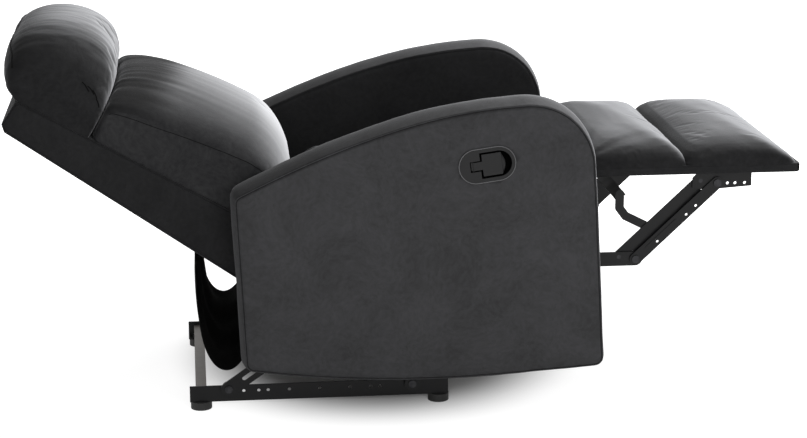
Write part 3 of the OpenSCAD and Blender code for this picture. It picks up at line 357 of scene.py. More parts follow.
def velvet_cloth(name, low, high, painted_sheen_tone, late, sheen, lie_and_painted_light_direction=(0.94, 0.0, 0.34), turned_pile_and_painted_shade=None):
    """Velvet from its darkest and lightest tone face on, the tone of its painted sheen seen edge-on, and how late
    that comes.

    The last argument is a direction and two distances along it, between which the pile turns over and its tone is
    painted dark as shade.
    """
    made, tree, where = blank(name)
    warped = add(tree, "TexNoise", {"Scale": 7.0, "Detail": 3.0, "Vector": where})
    shift = add(tree, "VectorMath.SCALE", {"Scale": 0.10, 0: warped.outputs["Color"]})
    moved = add(tree, "VectorMath.ADD", {0: where, 1: shift})
    # Brushed patches are about 80 mm across, and the mottle in them about 9 mm
    patches = add(tree, "TexNoise", {"Scale": 11.0, "Detail": 5.0, "Roughness": 0.58, "Vector": moved})
    mottle = add(tree, "TexNoise", {"Scale": 105.0, "Detail": 4.0, "Roughness": 0.6, "Vector": moved})
    mixed = add(tree, "Mix", {"data_type": "FLOAT", 0: 0.45, 2: patches, 3: mottle})
    ramp = add(tree, "ValToRGB", {0: mixed})
    for stop, place, tone in zip(ramp.color_ramp.elements, (0.36, 0.64), (low, high)):
        stop.position, stop.color = place, colour(tone)
    # The pile's tufts stand 0.4 mm apart, drawn at about 1.2 mm so that they show
    tufts = add(tree, "TexNoise", {"Scale": 850.0, "Detail": 2.0, "Vector": where})
    fine = add(tree, "Bump", {"Strength": 0.4, "Distance": 0.0007, "Height": tufts})
    bump = add(tree, "Bump", {"Strength": 0.22, "Distance": 0.0016, "Height": mottle, "Normal": fine})
    turned_away = add(tree, "LayerWeight", {"Blend": 0.5})
    late_rise = add(tree, "Math.POWER", {0: turned_away.outputs["Facing"], 1: late})
    # The pile leans to the foot of the chair: a slope that faces that way is painted lighter, as lit from there, and
    # shows the painted sheen
    facing = where.node.outputs["Normal"]
    along = add(tree, "VectorMath.DOT_PRODUCT", {0: facing, 1: lie_and_painted_light_direction})
    lean_and_painted_light = add(tree, "MapRange", {**eased, "From Min": -0.20, "From Max": 0.62, "To Min": 0.04,
                "Value": along.outputs["Value"]})
    # Painted shade: past the two distances the lit side and its sheen fade out, and the tone goes dark
    if turned_pile_and_painted_shade:
        ahead, start, end = turned_pile_and_painted_shade
        height = add(tree, "VectorMath.DOT_PRODUCT", {0: where, 1: ahead})
        drawn = add(tree, "Mapping", {"Scale": (3.0, 42.0, 3.0), "Vector": where})
        streak = add(tree, "TexNoise", {"Scale": 1.0, "Detail": 3.0, "Vector": drawn})
        ragged = add(tree, "Math.MULTIPLY_ADD", {0: streak, 1: streak_reach, 2: height.outputs["Value"]})
        turn = add(tree, "MapRange", {**eased, "From Min": start, "From Max": end, "To Min": 1.0, "To Max": 0.0,
                    "Value": ragged})
        lean_and_painted_light = add(tree, "Math.MULTIPLY", {0: lean_and_painted_light, 1: turn})
    # Painted sheen: seen edge-on, on slopes that face the given way
    tips = add(tree, "Math.MULTIPLY", {0: late_rise, 1: lean_and_painted_light})
    # An upward slope that faces away from that way is painted dark, as shade and as the pile's dark roots
    apart = add(tree, "SeparateXYZ", {0: facing})
    upward = add(tree, "MapRange", {**eased, "From Min": 0.25, "From Max": 0.8, "Value": apart.outputs["Z"]})
    against = add(tree, "Math.SUBTRACT", {0: 1.0, 1: lean_and_painted_light})
    roots_and_painted_shade = add(tree, "Math.MULTIPLY", {0: upward, 1: against})
    roots_and_painted_shade = add(tree, "Math.MULTIPLY", {0: roots_and_painted_shade, 1: 0.78})
    face_on = add(tree, "Mix", {"data_type": "RGBA", 7: colour("#060606"), 0: roots_and_painted_shade, 6: ramp})
    tone = add(tree, "Mix", {"data_type": "RGBA", 7: colour(painted_sheen_tone), 0: tips, 6: face_on.outputs[2]})
    pile = add(tree, "BsdfPrincipled",
               {"Roughness": 0.85, "IOR": 1.4, "Specular IOR Level": 0.2,
                "Sheen Weight": sheen, "Sheen Roughness": 0.28, "Sheen Tint": colour("#f0f1f4"),
                "Base Color": tone.outputs[2], "Normal": bump})
    add(tree, "OutputMaterial", {"Surface": pile})
    return made


# Brushed up on the arms' outer panels and down on the cushions; the darker copy is painted shade, on the arms' inner
# panels, the back's shell, the seams and the edges
velvet_up = velvet_cloth("charcoal_velvet_brushed_up", "#424243", "#515153", "#909194", 8.0, 0.08)
velvet_down = velvet_cloth("charcoal_velvet_brushed_down", "#1f1f20", "#303031", "#c4c5c8", 3.4, 0.16)
velvet_foot = velvet_cloth("charcoal_velvet_of_the_footrest", "#1f1f20", "#303031", "#a6a7aa", 3.2, 0.10,
                           lie_and_painted_light_direction=(0.62, 0.0, 0.46))
velvet_painted_shade = velvet_cloth("charcoal_velvet_painted_shade", "#262627", "#313132", "#6c6c6f", 6.0, 0.08)

# Seam thread and welts: the same yarn drawn tight into the seam, coloured near black as the painted shade of its
# groove.
# Its twist repeats every 0.75 mm, drawn coarser than the real 0.3 mm.
thread_and_painted_shade, tree, where = blank("seam_thread_and_painted_shade")
twist = add(tree, "TexWave", {"Scale": 420.0, "Distortion": 1.0, "Vector": where})
tone = add(tree, "Mix", {"data_type": "RGBA", 6: colour("#070707"), 7: colour("#101010"), 0: twist.outputs[1]})
bump = add(tree, "Bump", {"Strength": 0.3, "Distance": 0.0005, "Height": twist.outputs[1]})
yarn = add(tree, "BsdfPrincipled", {"Roughness": 0.9, "Specular IOR Level": 0.1,
            "Base Color": tone.outputs[2], "Normal": bump})
add(tree, "OutputMaterial", {"Surface": yarn})

# Arms: a timber frame padded with foam, in a boxed velvet cover. Two side panels are sewn to a band that runs
# round the arm's edge, and the seam allowance stands up as a thin ridge beside the stitch line.
body_lean, body_origin = math.radians(3.6), (-0.319783, 0.065955)
arm_length, arm_height, arm_rear_height = 0.678, 0.519, 0.389
arm_front_radius, arm_rise, arm_corner = 0.128, 0.055, 0.019
arm_inner, arm_outer = 0.248, 0.350


def body_points(side):
    """Side-view points of the chair's body, forward and up, as world X and Z."""
    c, s = math.cos(body_lean), math.sin(body_lean)
    side = np.asarray(side, float)
    return np.stack([side[..., 0] * c - side[..., 1] * s + body_origin[0],
                     side[..., 0] * s + side[..., 1] * c + body_origin[1]], -1)


def rounded(corner, start, end, radius, steps):
    """Samples of a rounded corner: forward, up, and the outward normal."""
    first = np.array([math.cos(start), math.sin(start)])
    last = np.array([math.cos(end), math.sin(end)])
    middle = np.array(corner) - radius * (first + last) / (1 + first @ last)
    turns = np.linspace(start, end, steps)
    outward = np.stack([np.cos(turns), np.sin(turns)], 1)
    return np.hstack([middle + radius * outward, outward])


def even_steps(points, count, closed=False, measured=None):
    """The points again in even steps along their line, by the distance in the measured columns."""
    line = np.vstack([points, points[:1]]) if closed else np.asarray(points, float)
    far = np.concatenate([[0], np.cumsum(np.linalg.norm(np.diff(line[:, :measured], axis=0), axis=1))])
    even = np.linspace(0, far[-1], count, endpoint=not closed)
    return np.stack([np.interp(even, far, column) for column in line.T], 1)


def arm_edge():
    """The arm's outline in side view, in even steps, with its outward normals."""
    quarter = math.pi / 2
    start, bend, end = np.array([[0.520, arm_height], [0.305, arm_height], [0.005, arm_rear_height]])
    t = np.linspace(0, 0.98, 60)[:, None]
    top = start * (1 - t) ** 2 + bend * 2 * t * (1 - t) + end * t * t
    run = (bend - start) * (1 - t) + (end - bend) * t
    out = np.stack([run[:, 1], -run[:, 0]], 1) / np.linalg.norm(run, axis=1)[:, None]
    top_turn = math.atan2(arm_height - arm_rear_height, 0.300) + quarter
    rear_turn = math.pi - math.atan2(0.005, arm_rear_height - arm_rise)
    foot_turn = 3 * quarter - math.atan2(2 * arm_rise, 0.480)
    x = np.linspace(0.018, 0.480, 50)
    k = (0.480 - x) / 0.480
    down = np.stack([-2 * arm_rise * k / 0.480, -np.ones_like(x)], 1)
    down /= np.linalg.norm(down, axis=1)[:, None]
    samples = np.vstack([
        rounded((arm_length, 0), -quarter, 0, arm_corner, 12),
        rounded((arm_length, arm_height), 0, quarter, arm_front_radius, 40),
        np.hstack([top, out]),
        rounded((0.005, arm_rear_height), top_turn, rear_turn, arm_corner, 12),
        rounded((0, arm_rise), rear_turn, foot_turn, arm_corner, 12),
        np.hstack([np.stack([x, arm_rise * k * k], 1), down]),
    ])
    made = even_steps(samples, 300, closed=True, measured=2)
    made[:, 2:] /= np.linalg.norm(made[:, 2:], axis=1)[:, None]
    return made


# Across the arm: how far in from the outline, and how far in from the side face, in metres
arm_section = [
    (0.0165, 0.0), (0.0110, 0.0010), (0.0076, 0.0026), (0.0060, 0.0046), (0.0046, 0.0034), (0.0028, 0.0046),
    (0.0020, 0.0074), (0.0006, 0.0130), (-0.0010, 0.0200), (-0.0028, 0.0300), (-0.0040, 0.0400), (-0.0044, 0.0510),
]
seam_inset, seam_depth = arm_section[3][0], 0.0038


def arm_cover(name, side):
    edge = arm_edge()
    middle = np.array([0.345, 0.235])
    rings = []

    def ring(points, y):
        rings.append(at_y(body_points(points), y))

    swell = [0.04, 0.12, 0.24, 0.38, 0.52, 0.66, 0.78, 0.88, 0.95]
    panel = edge[:, :2] - edge[:, 2:] * arm_section[0][0]
    for share in swell:
        ring(middle + (panel - middle) * share, side * (arm_outer + 0.0022 * (1 - share ** 2)))
    for inset, depth in arm_section:
        ring(edge[:, :2] - edge[:, 2:] * inset, side * (arm_outer - depth))
    for inset, depth in arm_section[-2::-1]:
        ring(edge[:, :2] - edge[:, 2:] * inset, side * (arm_inner + depth))
    for share in swell[::-1]:
        ring(middle + (panel - middle) * share, side * (arm_inner - 0.0008 * (1 - share ** 2)))
    cover = skin_of(name, rings, velvet_up)
    mesh = cover.data
    mesh.materials.append(velvet_painted_shade)
    # The inner panel, beside the seat, takes the darker copy of the velvet: painted shade
    for face in mesh.polygons:
        face.material_index = int(abs(face.center.y) < arm_inner + 0.006)
    # Soft unevenness of the foam
    for v in mesh.vertices:
        p = v.co
        wave = noise.noise(Vector((p.x * 9, p.y * 6, p.z * 9))) * 0.0012
        wave += noise.noise(Vector((p.x * 34, p.y * 20, p.z * 34))) * 0.0004
        v.co = p + v.normal * wave
    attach(cover, "body")
    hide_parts("arm_cover_left" if side > 0 else "arm_cover_right")
    return cover


def stitch(name, points, radius, body, closed=False, material=thread_and_painted_shade):
    """A sewn line, a rim, or a dark line of painted shade in a fold: a thin tube along the points, of yarn unless
    told otherwise.
    """
    points = np.asarray(points, float)
    around = 6
    ahead = np.roll(points, -1, 0) - np.roll(points, 1, 0)
    if not closed:
        ahead[0], ahead[-1] = points[1] - points[0], points[-1] - points[-2]
    ahead /= np.linalg.norm(ahead, axis=1)[:, None]
    up = np.cross(ahead, [0.31, 0.87, 0.38])
    up /= np.linalg.norm(up, axis=1)[:, None]
    across = np.cross(ahead, up)
    turns = np.linspace(0, 2 * math.pi, around, endpoint=False)[None, :, None]
    rings = points[:, None] + radius * (np.cos(turns) * up[:, None] + np.sin(turns) * across[:, None])
    if closed:
        rings = np.concatenate([rings, rings[:1]])
    line = skin_of(name, rings, material, tips=not closed)
    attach(line, body)
    return line


arm_covers = []
edge = arm_edge()
seam = body_points(edge[:, :2] - edge[:, 2:] * seam_inset)
for label, side in both_sides:
    arm_covers.append(arm_cover("arm_velvet_" + label, side))
    # The seams are tubes of the darker copy of the velvet: painted shade in their grooves
    for face, y in (("outer", arm_outer - seam_depth), ("inner", arm_inner + seam_depth)):
        stitch(f"arm_seam_{label}_{face}", at_y(seam, side * y), 0.0012, "body", True, velvet_painted_shade)

# Latch: a moulded oval plate in the right arm with a finger pocket, and a T-shaped pull paddle on a pin.
# The plate's rim is rolled over, and the paddle's right edge bows out for the fingertips.
latch_slope = math.radians(7.6)
latch_origin = body_points(np.array([[0.473, 0.412]]))[0]


def on_latch(points):
    """Points as forward along the plate, out from the arm, and up, in world metres."""
    points = np.asarray(points, float)
    x, out, z = points[..., 0], points[..., 1], points[..., 2]
    return np.stack([latch_origin[0] + x * math.cos(latch_slope) - z * math.sin(latch_slope), -arm_outer - out,
                     latch_origin[1] + x * math.sin(latch_slope) + z * math.cos(latch_slope)], -1)


def stadium(length, height, count=72):
    """An obround outline, as forward and up."""
    turns = np.linspace(0, 2 * math.pi, count, endpoint=False)
    r = height / 2
    x = np.cos(turns) * r + np.sign(np.cos(turns)) * (length - height) / 2
    return np.stack([x, np.sin(turns) * r], 1)


# Spark-eroded grain of the mould, 0.2 mm, drawn at 0.8 mm so that it shows. Deeper than the plate's face, in the
# finger pocket, its tone is painted near black as the arm's shade.
plastic = coated(
    "moulded_black_abs", "#0d0d0e", "#151516", {"Scale": 70.0, "Detail": 4.0},
    {"IOR": 1.53, "Specular IOR Level": 0.2}, gloss={"To Min": 0.32, "To Max": 0.48},
    grain={"Scale": 1300.0, "Detail": 2.0}, press={"Strength": 0.15, "Distance": 0.0002}, dark=(-0.3480, -0.3460),
)
finish_nodes(plastic, "latch_cable", "latch_bezel", "latch_paddle")
# The plate's rim is painted light grey, a painted highlight along its rolled edge
rim_painted_highlight, tree, _ = blank("abs_rim_painted_highlight")
shell = add(tree, "BsdfPrincipled", {"Base Color": colour("#58585a"), "Roughness": 0.35, "IOR": 1.53})
add(tree, "OutputMaterial", {"Surface": shell})


def latch_edges():
    stitch("latch_rim", on_latch(at_y(stadium(0.105, 0.064), 0.0027)), 0.0011, "body", True, rim_painted_highlight)
    turns = np.linspace(-1, 1, 17)
    bow = np.stack([0.0335 - 0.0075 * turns ** 2, turns * 0.0200], 1)
    bow = np.vstack([bow, [[0.0255, 0.0200], [0.0255, -0.0200]]])
    shape = [on_latch(at_y(bow, out)) for out in (-0.0017, 0.0019)]
    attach(skin_of("latch_paddle_bow", shape, plastic), "latch")


def keep_result(piece, modifier):
    """Gives the piece the mesh that its modifier makes of it, and drops the modifier."""
    view = bpy.context.evaluated_depsgraph_get()
    old, made = piece.data, bpy.data.meshes.new_from_object(piece.evaluated_get(view))
    piece.modifiers.remove(modifier)
    piece.data = made
    bpy.data.meshes.remove(old)
    made.name = piece.name
    return made


def open_pocket(cover):
    """Cuts the padding away behind the plate and lines the hollow in the black lining, as the pocket's painted shade.
    """
    ends = [on_latch(at_y(stadium(0.098, 0.057), out)) for out in (0.012, -0.0160)]
    cutter = skin_of("latch_hollow", ends, lining, smooth=False)
    cut = cover.modifiers.new("latch_hollow", "BOOLEAN")
    cut.operation, cut.solver, cut.object, cut.material_mode = "DIFFERENCE", "EXACT", cutter, "TRANSFER"
    keep_result(cover, cut)
    bpy.data.meshes.remove(cutter.data)


latch_edges()
open_pocket(arm_covers[1])

# Back shell: velvet stretched over a plywood frame, flat at the sides and bowed a little behind.
# Its edges are welted, and it is chamfered at the top rear corner.
back_lean, back_foot = math.radians(51.5), (0.072, 0.304)


def turned(points, angle):
    c, s = math.cos(angle), math.sin(angle)
    return np.stack([points[..., 0] * c - points[..., 1] * s, points[..., 0] * s + points[..., 1] * c], -1)


def on_back(points):
    """Back-frame points, out of its rear face's middle and up, as world X and Z."""
    return body_points(turned(np.asarray(points, float), back_lean) + back_foot)


def smooth_step(low, high, x):
    t = np.clip((x - low) / (high - low), 0, 1)
    return t * t * (3 - 2 * t)


def back_shell():
    top, foot = 0.518, -0.015
    corners = [(-0.1215, foot + 0.006), (-0.1155, foot), (-0.014, foot), (-0.009, foot + 0.004),
               (-0.060, top - 0.006), (-0.066, top), (-0.1125, top - 0.001), (-0.1215, top - 0.012)]
    points = []
    for a, b in zip(corners, corners[1:] + corners[:1]):
        a, b = np.array(a), np.array(b)
        steps = max(3, int(np.linalg.norm(b - a) / 0.007))
        points += [a + (b - a) * i / steps for i in range(steps)]
    points = np.array(points)
    spine = np.interp(points[:, 1], [foot, top], [-0.062, -0.088])
    spine = np.stack([spine, np.clip(points[:, 1], foot + 0.045, top - 0.035)], 1)
    # Each ring's share of the side face, and where it lies across the back
    sides = [(0.84, 0.2342), (0.905, 0.2336), (0.925, 0.2322), (0.945, 0.2338), (0.965, 0.2350),
             (0.985, 0.2348), (0.997, 0.2334), (1.0, 0.2310)]
    cross = [(share, -y) for share, y in sides]
    cross += [(1.0, y) for y in np.linspace(-0.226, 0.226, 36)]
    cross += [(share, y) for share, y in sides[::-1]]
    made = []
    for share, y in cross:
        ring = spine + (points - spine) * share
        behind = 1 - smooth_step(-0.1215, -0.1115, ring[:, 0])
        along = np.clip((ring[:, 1] - foot) / (top - foot), 0, 1)
        ring[:, 0] -= 0.004 * behind * max(0, 1 - (y / 0.236) ** 2) * np.sin(math.pi * along)
        made.append(at_y(on_back(ring), y))
    # The shell takes the darker copy of the velvet: painted shade
    shell = skin_of("back_velvet_shell", made, velvet_painted_shade, flat=True)
    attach(shell, "back")
    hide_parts("back_cover")


back_shell()
rear_edge = on_back([[-0.1212, up] for up in np.linspace(-0.006, 0.505, 60)])
for label, side in both_sides:
    stitch("back_edge_welt_" + label, at_y(rear_edge, side * 0.2325), 0.0013, "back", material=velvet_up)

# Lumbar cushion: a fibre-filled bag sewn from a top panel and a boxed side, buttoned down to the frame all round.
# The top panel is tight at the bottom and wrinkles where it dives under the headrest.
lumbar_spans = [
    [[0, 6], [40, -4], [90, -7], [108, 10]],
    [[108, 10], [130, 30], [169, 70], [170, 120]],
    [[170, 120], [170, 170], [165, 228], [154, 285]],
    [[154, 285], [147, 320], [133, 360], [112, 378]],
    [[112, 378], [106, 383], [98, 384], [88, 384]],
    [[88, 384], [60, 383], [30, 383], [0, 383]],
    [[0, 383], [0, 250], [0, 130], [0, 6]],
]

# The back's cushions are drawn out of its front face, which tapers to the top, and up along it
front_lean, front_foot = math.atan2(0.104 - 0.053, 0.533), (-0.011, -0.015)


def on_front(points):
    """Points out of the back's front face and up along it, as world X and Z."""
    return on_back(turned(np.asarray(points, float), front_lean) + front_foot)


# Under the headrest the pile is pressed the other way and lies in the headrest's shade, painted dark, more so on the
# left
back_origin, back_up = on_front([[0, 0], [0, 1]])
back_up = back_up - back_origin
back_start = float(back_origin @ back_up) + streak_reach / 2
velvet_back = velvet_cloth(
    "charcoal_velvet_of_the_back", "#2a2a2c", "#3f3f40", "#e6e7ea", 2.5, 0.16, lie_and_painted_light_direction=(0.99, 0.0, -0.16),
    turned_pile_and_painted_shade=((float(back_up[0]), 0.12, float(back_up[1])), back_start + 0.245, back_start + 0.325),
)


def curve(spans, count):
    """Evenly spaced points of a closed chain of cubic spans, given in millimetres."""
    t = np.linspace(0, 1, 40, endpoint=False)[:, None]
    points = []
    for span in spans:
        a, b, c, d = (np.array(p, float) / 1000 for p in span)
        points.append(a * (1 - t) ** 3 + 3 * b * t * (1 - t) ** 2 + 3 * c * t * t * (1 - t) + d * t ** 3)
    return even_steps(np.vstack(points), count, closed=True)


cloth_frames, simulated = 20, []


def skin_points(mesh):
    """Where a mesh's points are, and their normals."""
    return np.array([v.co for v in mesh.vertices]), np.array([v.normal for v in mesh.vertices])


def inflate(piece, voxel, pressure, cap, held, slack=0.04, bend=0.3):
    """Remeshes a closed form as cloth under air pressure.

    held(points, normals) gives how firmly each point is sewn down, from 0 to 1.
    """
    remesh = piece.modifiers.new("even_weave", "REMESH")
    remesh.mode, remesh.voxel_size = "VOXEL", voxel
    remesh.use_smooth_shade = True
    cloth_of_cover = piece.data.materials[0]
    made = keep_result(piece, remesh)
    made.materials.clear()
    made.materials.append(cloth_of_cover)
    points, normals = skin_points(made)
    firm = np.clip(held(points, normals), 0, 1)
    if FULL:
        group = piece.vertex_groups.new(name="sewn")
        for i, w in enumerate(firm):
            if w > 0:
                group.add([i], float(w), "REPLACE")
        cloth = piece.modifiers.new("cover", "CLOTH")
        s = cloth.settings
        s.quality, s.mass = 6, 0.25
        s.tension_stiffness = s.compression_stiffness = 12.0
        s.shear_stiffness, s.bending_stiffness = 6.0, bend
        s.tension_damping = s.compression_damping = s.shear_damping = 8.0
        s.use_pressure, s.uniform_pressure_force = True, pressure
        s.shrink_min = -slack
        s.effector_weights.gravity = 0.0
        s.vertex_group_mass = "sewn"
        cloth.point_cache.frame_start, cloth.point_cache.frame_end = 1, cloth_frames
        simulated.append((piece, points, cap))


def cushion_frame(points):
    """World points as out of the back's front face, across, and up along it."""
    body = turned(points[:, [0, 2]] - body_origin, -body_lean)
    front = turned(turned(body - back_foot, -back_lean) - front_foot, -front_lean)
    return np.stack([front[:, 0], points[:, 1], front[:, 1]], 1)


def lumbar_cushion():
    outline = curve(lumbar_spans, 150)
    half, middle = 0.2355, np.array([0.0, 0.190])
    rings = []
    for v in np.concatenate([[-1, -0.985], np.linspace(-0.96, 0.96, 49), [0.985, 1]]):
        crown = 0.585 + 0.415 * (1 - abs(v) ** 2.6) ** 0.85
        end = 0.955 + 0.045 * min(1.0, (1 - abs(v)) / 0.06) ** 0.5
        ring = middle * (1 - end) + outline * end * [[crown, 1]]
        rings.append(at_y(on_front(np.maximum(ring, [[0.0004, -1]])), v * half))
    return skin_of("lumbar_cushion", rings, velvet_back)


def lumbar_held(points, normals):
    local = cushion_frame(points)
    flat = 1 - smooth_step(0.001, 0.012, local[:, 0])
    side = smooth_step(0.75, 0.95, np.abs(normals[:, 1])) * 0.55
    seam = np.exp(-((local[:, 0] - seam_line(local[:, 2])) / 0.005) ** 2)
    seam = seam * smooth_step(0.222, 0.232, np.abs(local[:, 1]))
    return np.maximum.reduce([flat, side, seam, smooth_step(0.300, 0.365, local[:, 2])])


def seam_line(up):
    """How far out of the frame the side seam lies at each height."""
    return np.interp(up, [0.0, 0.111, 0.184, 0.275, 0.367, 0.39], [0.094, 0.095, 0.088, 0.079, 0.068, 0.063])


lumbar = lumbar_cushion()
inflate(lumbar, 0.0052, 2.6, 0.006, lumbar_held, slack=0.0, bend=1.2)

# Headrest: a D-shaped roll of loose fibre in a velvet cover.
# It is closed by a zip behind and tied down to the frame.
headrest_spans = [
    [[0, 385], [30, 385], [62, 384], [88, 386]],
    [[88, 386], [126, 388], [154, 410], [160, 452]],
    [[160, 452], [167, 516], [122, 592], [66, 592]],
    [[66, 592], [32, 592], [3, 580], [3, 547]],
    [[3, 545], [1, 499], [0, 439], [0, 385]],
]


def headrest_cushion():
    outline = curve(headrest_spans, 130)
    half, up = 0.236, 0.408
    rings = []
    for v in np.sin(np.linspace(-math.pi / 2, math.pi / 2, 67)[1:-1]):
        k = (1 - abs(v) ** 4.4) ** 0.5
        points = np.stack([outline[:, 0] * k, up + (outline[:, 1] - up) * (0.72 + 0.28 * k)], 1)
        rings.append(at_y(on_front(np.maximum(points, [[0.0006, -1]])), v * half))
    return skin_of("headrest_roll", rings, velvet_down)


def headrest_held(points, normals):
    local = cushion_frame(points)
    flat = 1 - smooth_step(0.001, 0.010, local[:, 0])
    crease = (1 - smooth_step(0.386, 0.398, local[:, 2])) * 0.8
    return np.maximum(flat, crease)


headrest = headrest_cushion()
inflate(headrest, 0.0050, 2.8, 0.007, headrest_held, slack=0.010, bend=0.7)

# Footrest: a padded board on the bars. Two pads share one velvet cover, with a deep sewn crease between them;
# the cover is stapled under the board, which is wrapped in black lining.
panel_at, pad_foot, pad_half_width = np.array([0.59490, 0.42695]), 0.0300, 0.2366
pad_rise = [0.0, 0.03, 0.08, 0.2, 0.32, 0.42, 0.55, 0.7, 0.83, 0.93, 0.98]
pad_wall = np.array([0.998, 0.999, 1.0, 1.0, 0.995, 0.975, 0.93, 0.84, 0.7, 0.48, 0.26])
crease_wall = np.array([1.0, 1.0, 1.0, 0.985, 0.955, 0.915, 0.84, 0.72, 0.54, 0.27, 0.08])
hidden_wall = np.array([1.0, 1.0, 1.0, 1.0, 0.985, 0.96, 0.90, 0.79, 0.61, 0.34, 0.10])
toe_wall = np.array([0.985, 0.985, 0.975, 0.945, 0.885, 0.80, 0.67, 0.52, 0.34, 0.15, 0.06])


def pad(name, rear, front, height, rear_wall, front_wall):
    """A pad from its length and, at each share of its height, how far out its two ends stand."""
    half_x, middle = (front - rear) / 2, (front + rear) / 2
    steps, marks = np.linspace(0, len(pad_rise) - 1, 46), range(len(pad_rise))
    turns = np.linspace(0, 2 * math.pi, 200, endpoint=False)
    c, s = np.cos(turns), np.sin(turns)
    rings = []
    for step in steps:
        r, k, back, fore = (np.interp(step, marks, row)
                            for row in (pad_rise, pad_wall ** 0.75, rear_wall, front_wall))
        x = half_x * np.where(c < 0, -back, fore) * np.abs(c) ** 0.14 + middle
        y = pad_half_width * k * np.sign(s) * np.abs(s) ** 0.14
        rings.append(np.stack([panel_at[0] + x, y, np.full_like(x, panel_at[1] + pad_foot + height * r)], 1))
    return skin_of(name, rings, velvet_foot)


def pad_held(points, normals):
    low = 1 - smooth_step(0.006, 0.018, points[:, 2] - panel_at[1] - pad_foot)
    crease = np.exp(-((points[:, 0] - panel_at[0] + 0.060) / 0.010) ** 2)
    return np.maximum(low, crease)


upper_pad = pad("footrest_upper_pad", -0.268, -0.0590, 0.064, pad_wall ** 1.6, crease_wall)
lower_pad = pad("footrest_lower_pad", -0.0760, 0.158, 0.064, hidden_wall, toe_wall)
for piece in (upper_pad, lower_pad):
    inflate(piece, 0.0046, 2.4, 0.0035, pad_held, slack=0.002, bend=0.9)

# Edge of the footrest: the pads' velvet is drawn down over the edge of the board and stapled below it.
# It is pulled hard, so it shows only the board's own corners.


def footrest_edge():
    corner, count = 0.012, 9
    rear, front, half = -0.2716, 0.1575, pad_half_width
    points, outward = [], []
    for x, y, turn in ((front, half, 0), (rear, half, 1), (rear, -half, 2), (front, -half, 3)):
        for a in np.linspace(turn * math.pi / 2, (turn + 1) * math.pi / 2, count):
            n = np.array([math.cos(a), math.sin(a)])
            middle = np.array([x - math.copysign(corner, x), y - math.copysign(corner, y)])
            points.append(middle + corner * n)
            outward.append(n)
    section = [(-0.0030, 0.0235), (-0.0012, 0.0235), (-0.0002, 0.0255), (-0.0002, 0.0375),
               (-0.0018, 0.0400), (-0.0118, 0.0402)]
    rings = [[(panel_at[0] + p[0] + n[0] * out, p[1] + n[1] * out, panel_at[1] + up) for out, up in section]
             for p, n in zip(points, outward)]
    # The strip takes the darker copy of the velvet: painted shade
    edge = skin_of("footrest_velvet_edge", rings + rings[:1], velvet_painted_shade, tips=False, smooth=False)
    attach(edge, "footrest")


footrest_edge()

# Seat cushion: a foam block on webbing in a velvet cover, squeezed between the arms and rounded over the front.
# It is drawn from its side view, in the body's millimetres.
seat_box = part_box("seat_cushion")
seat_profile = [
    [[150, 252], [330, 228], [520, 232], [636, 232]],
    [[636, 232], [652, 234], [662, 262], [662, 300]],
    [[662, 300], [662, 350], [640, 368], [596, 372]],
    [[596, 372], [470, 378], [300, 356], [190, 340]],
    [[190, 340], [160, 336], [150, 320], [150, 300]],
    [[150, 300], [150, 284], [150, 268], [150, 252]],
]


def seat_pad():
    outline = curve(seat_profile, 150)
    half, middle = seat_box[1][1] - 0.001, np.array([0.42, 0.300])
    rings = []
    for v in np.concatenate([[-1, -0.985], np.linspace(-0.95, 0.95, 41), [0.985, 1]]):
        end = 0.94 + 0.06 * min(1.0, (1 - abs(v)) / 0.08) ** 0.5
        rings.append(at_y(body_points(middle * (1 - end) + outline * end), v * half))
    return skin_of("seat_pad", rings, velvet_down)


def seat_held(points, normals):
    return np.maximum(smooth_step(0.6, 0.9, np.abs(normals[:, 1])), smooth_step(0.6, 0.9, -normals[:, 2]))


seat = seat_pad()
inflate(seat, 0.0065, 2.5, 0.006, seat_held, slack=0.01)


def run_cloth():
    """Steps every cushion's cloth, limits how far each point went, and keeps the result."""
    for count in range(1, cloth_frames + 1):
        scene.frame_set(count)
    view = bpy.context.evaluated_depsgraph_get()
    moved = [np.array([v.co for v in piece.evaluated_get(view).data.vertices]) for piece, *_ in simulated]
    scene.frame_set(1)
    for (piece, start, cap), end in zip(simulated, moved):
        step = end - start
        far = np.linalg.norm(step, axis=1, keepdims=True)
        step *= cap * np.tanh(far / cap) / np.maximum(far, 1e-9)
        piece.modifiers.remove(piece.modifiers["cover"])
        piece.vertex_groups.clear()
        piece.data.vertices.foreach_set("co", (start + step).ravel())
        piece.data.update()


if FULL:
    run_cloth()

# Wrinkles: what the cut of each cover gives it, on top of the soft folds from the cloth. They fan out from the
# corners where a cover is pulled, and run across the roll where it is gathered.


def noise_at(points, scale, seed=0.0):
    """Smooth noise from -1 to 1 at each point, with a scale on each axis."""
    shifted = np.asarray(points) * np.asarray(scale) + seed
    return np.array([noise.noise(Vector(p)) for p in shifted])


def lumbar_folds(points, normals):
    p = cushion_frame(points)
    side = smooth_step(0.5, 0.9, np.abs(normals[:, 1]))
    near_top = np.exp(-(0.380 - p[:, 2]) / 0.09) * smooth_step(0.01, 0.06, p[:, 0]) * (1 - side)
    swept = p[:, 1] + 0.10 * (0.38 - p[:, 2])
    lines = noise_at(np.stack([swept * 34, p[:, 2] * 2.2, p[:, 0] * 2], 1), 1.0, 3.1)
    fine = noise_at(np.stack([swept * 85, p[:, 2] * 4.0, p[:, 0] * 6], 1), 1.0, 8.7)
    broad = noise_at(p, (7, 5, 4), 5.0)
    seam = np.exp(-((p[:, 0] - seam_line(p[:, 2])) / 0.0022) ** 2) * side
    base = np.exp(-p[:, 0] / 0.004) * side
    gathers = near_top * (lines * 0.0026 + fine * 0.0008)
    return gathers + broad * 0.0020 + fine * 0.00012 - seam * 0.0012 - base * 0.002


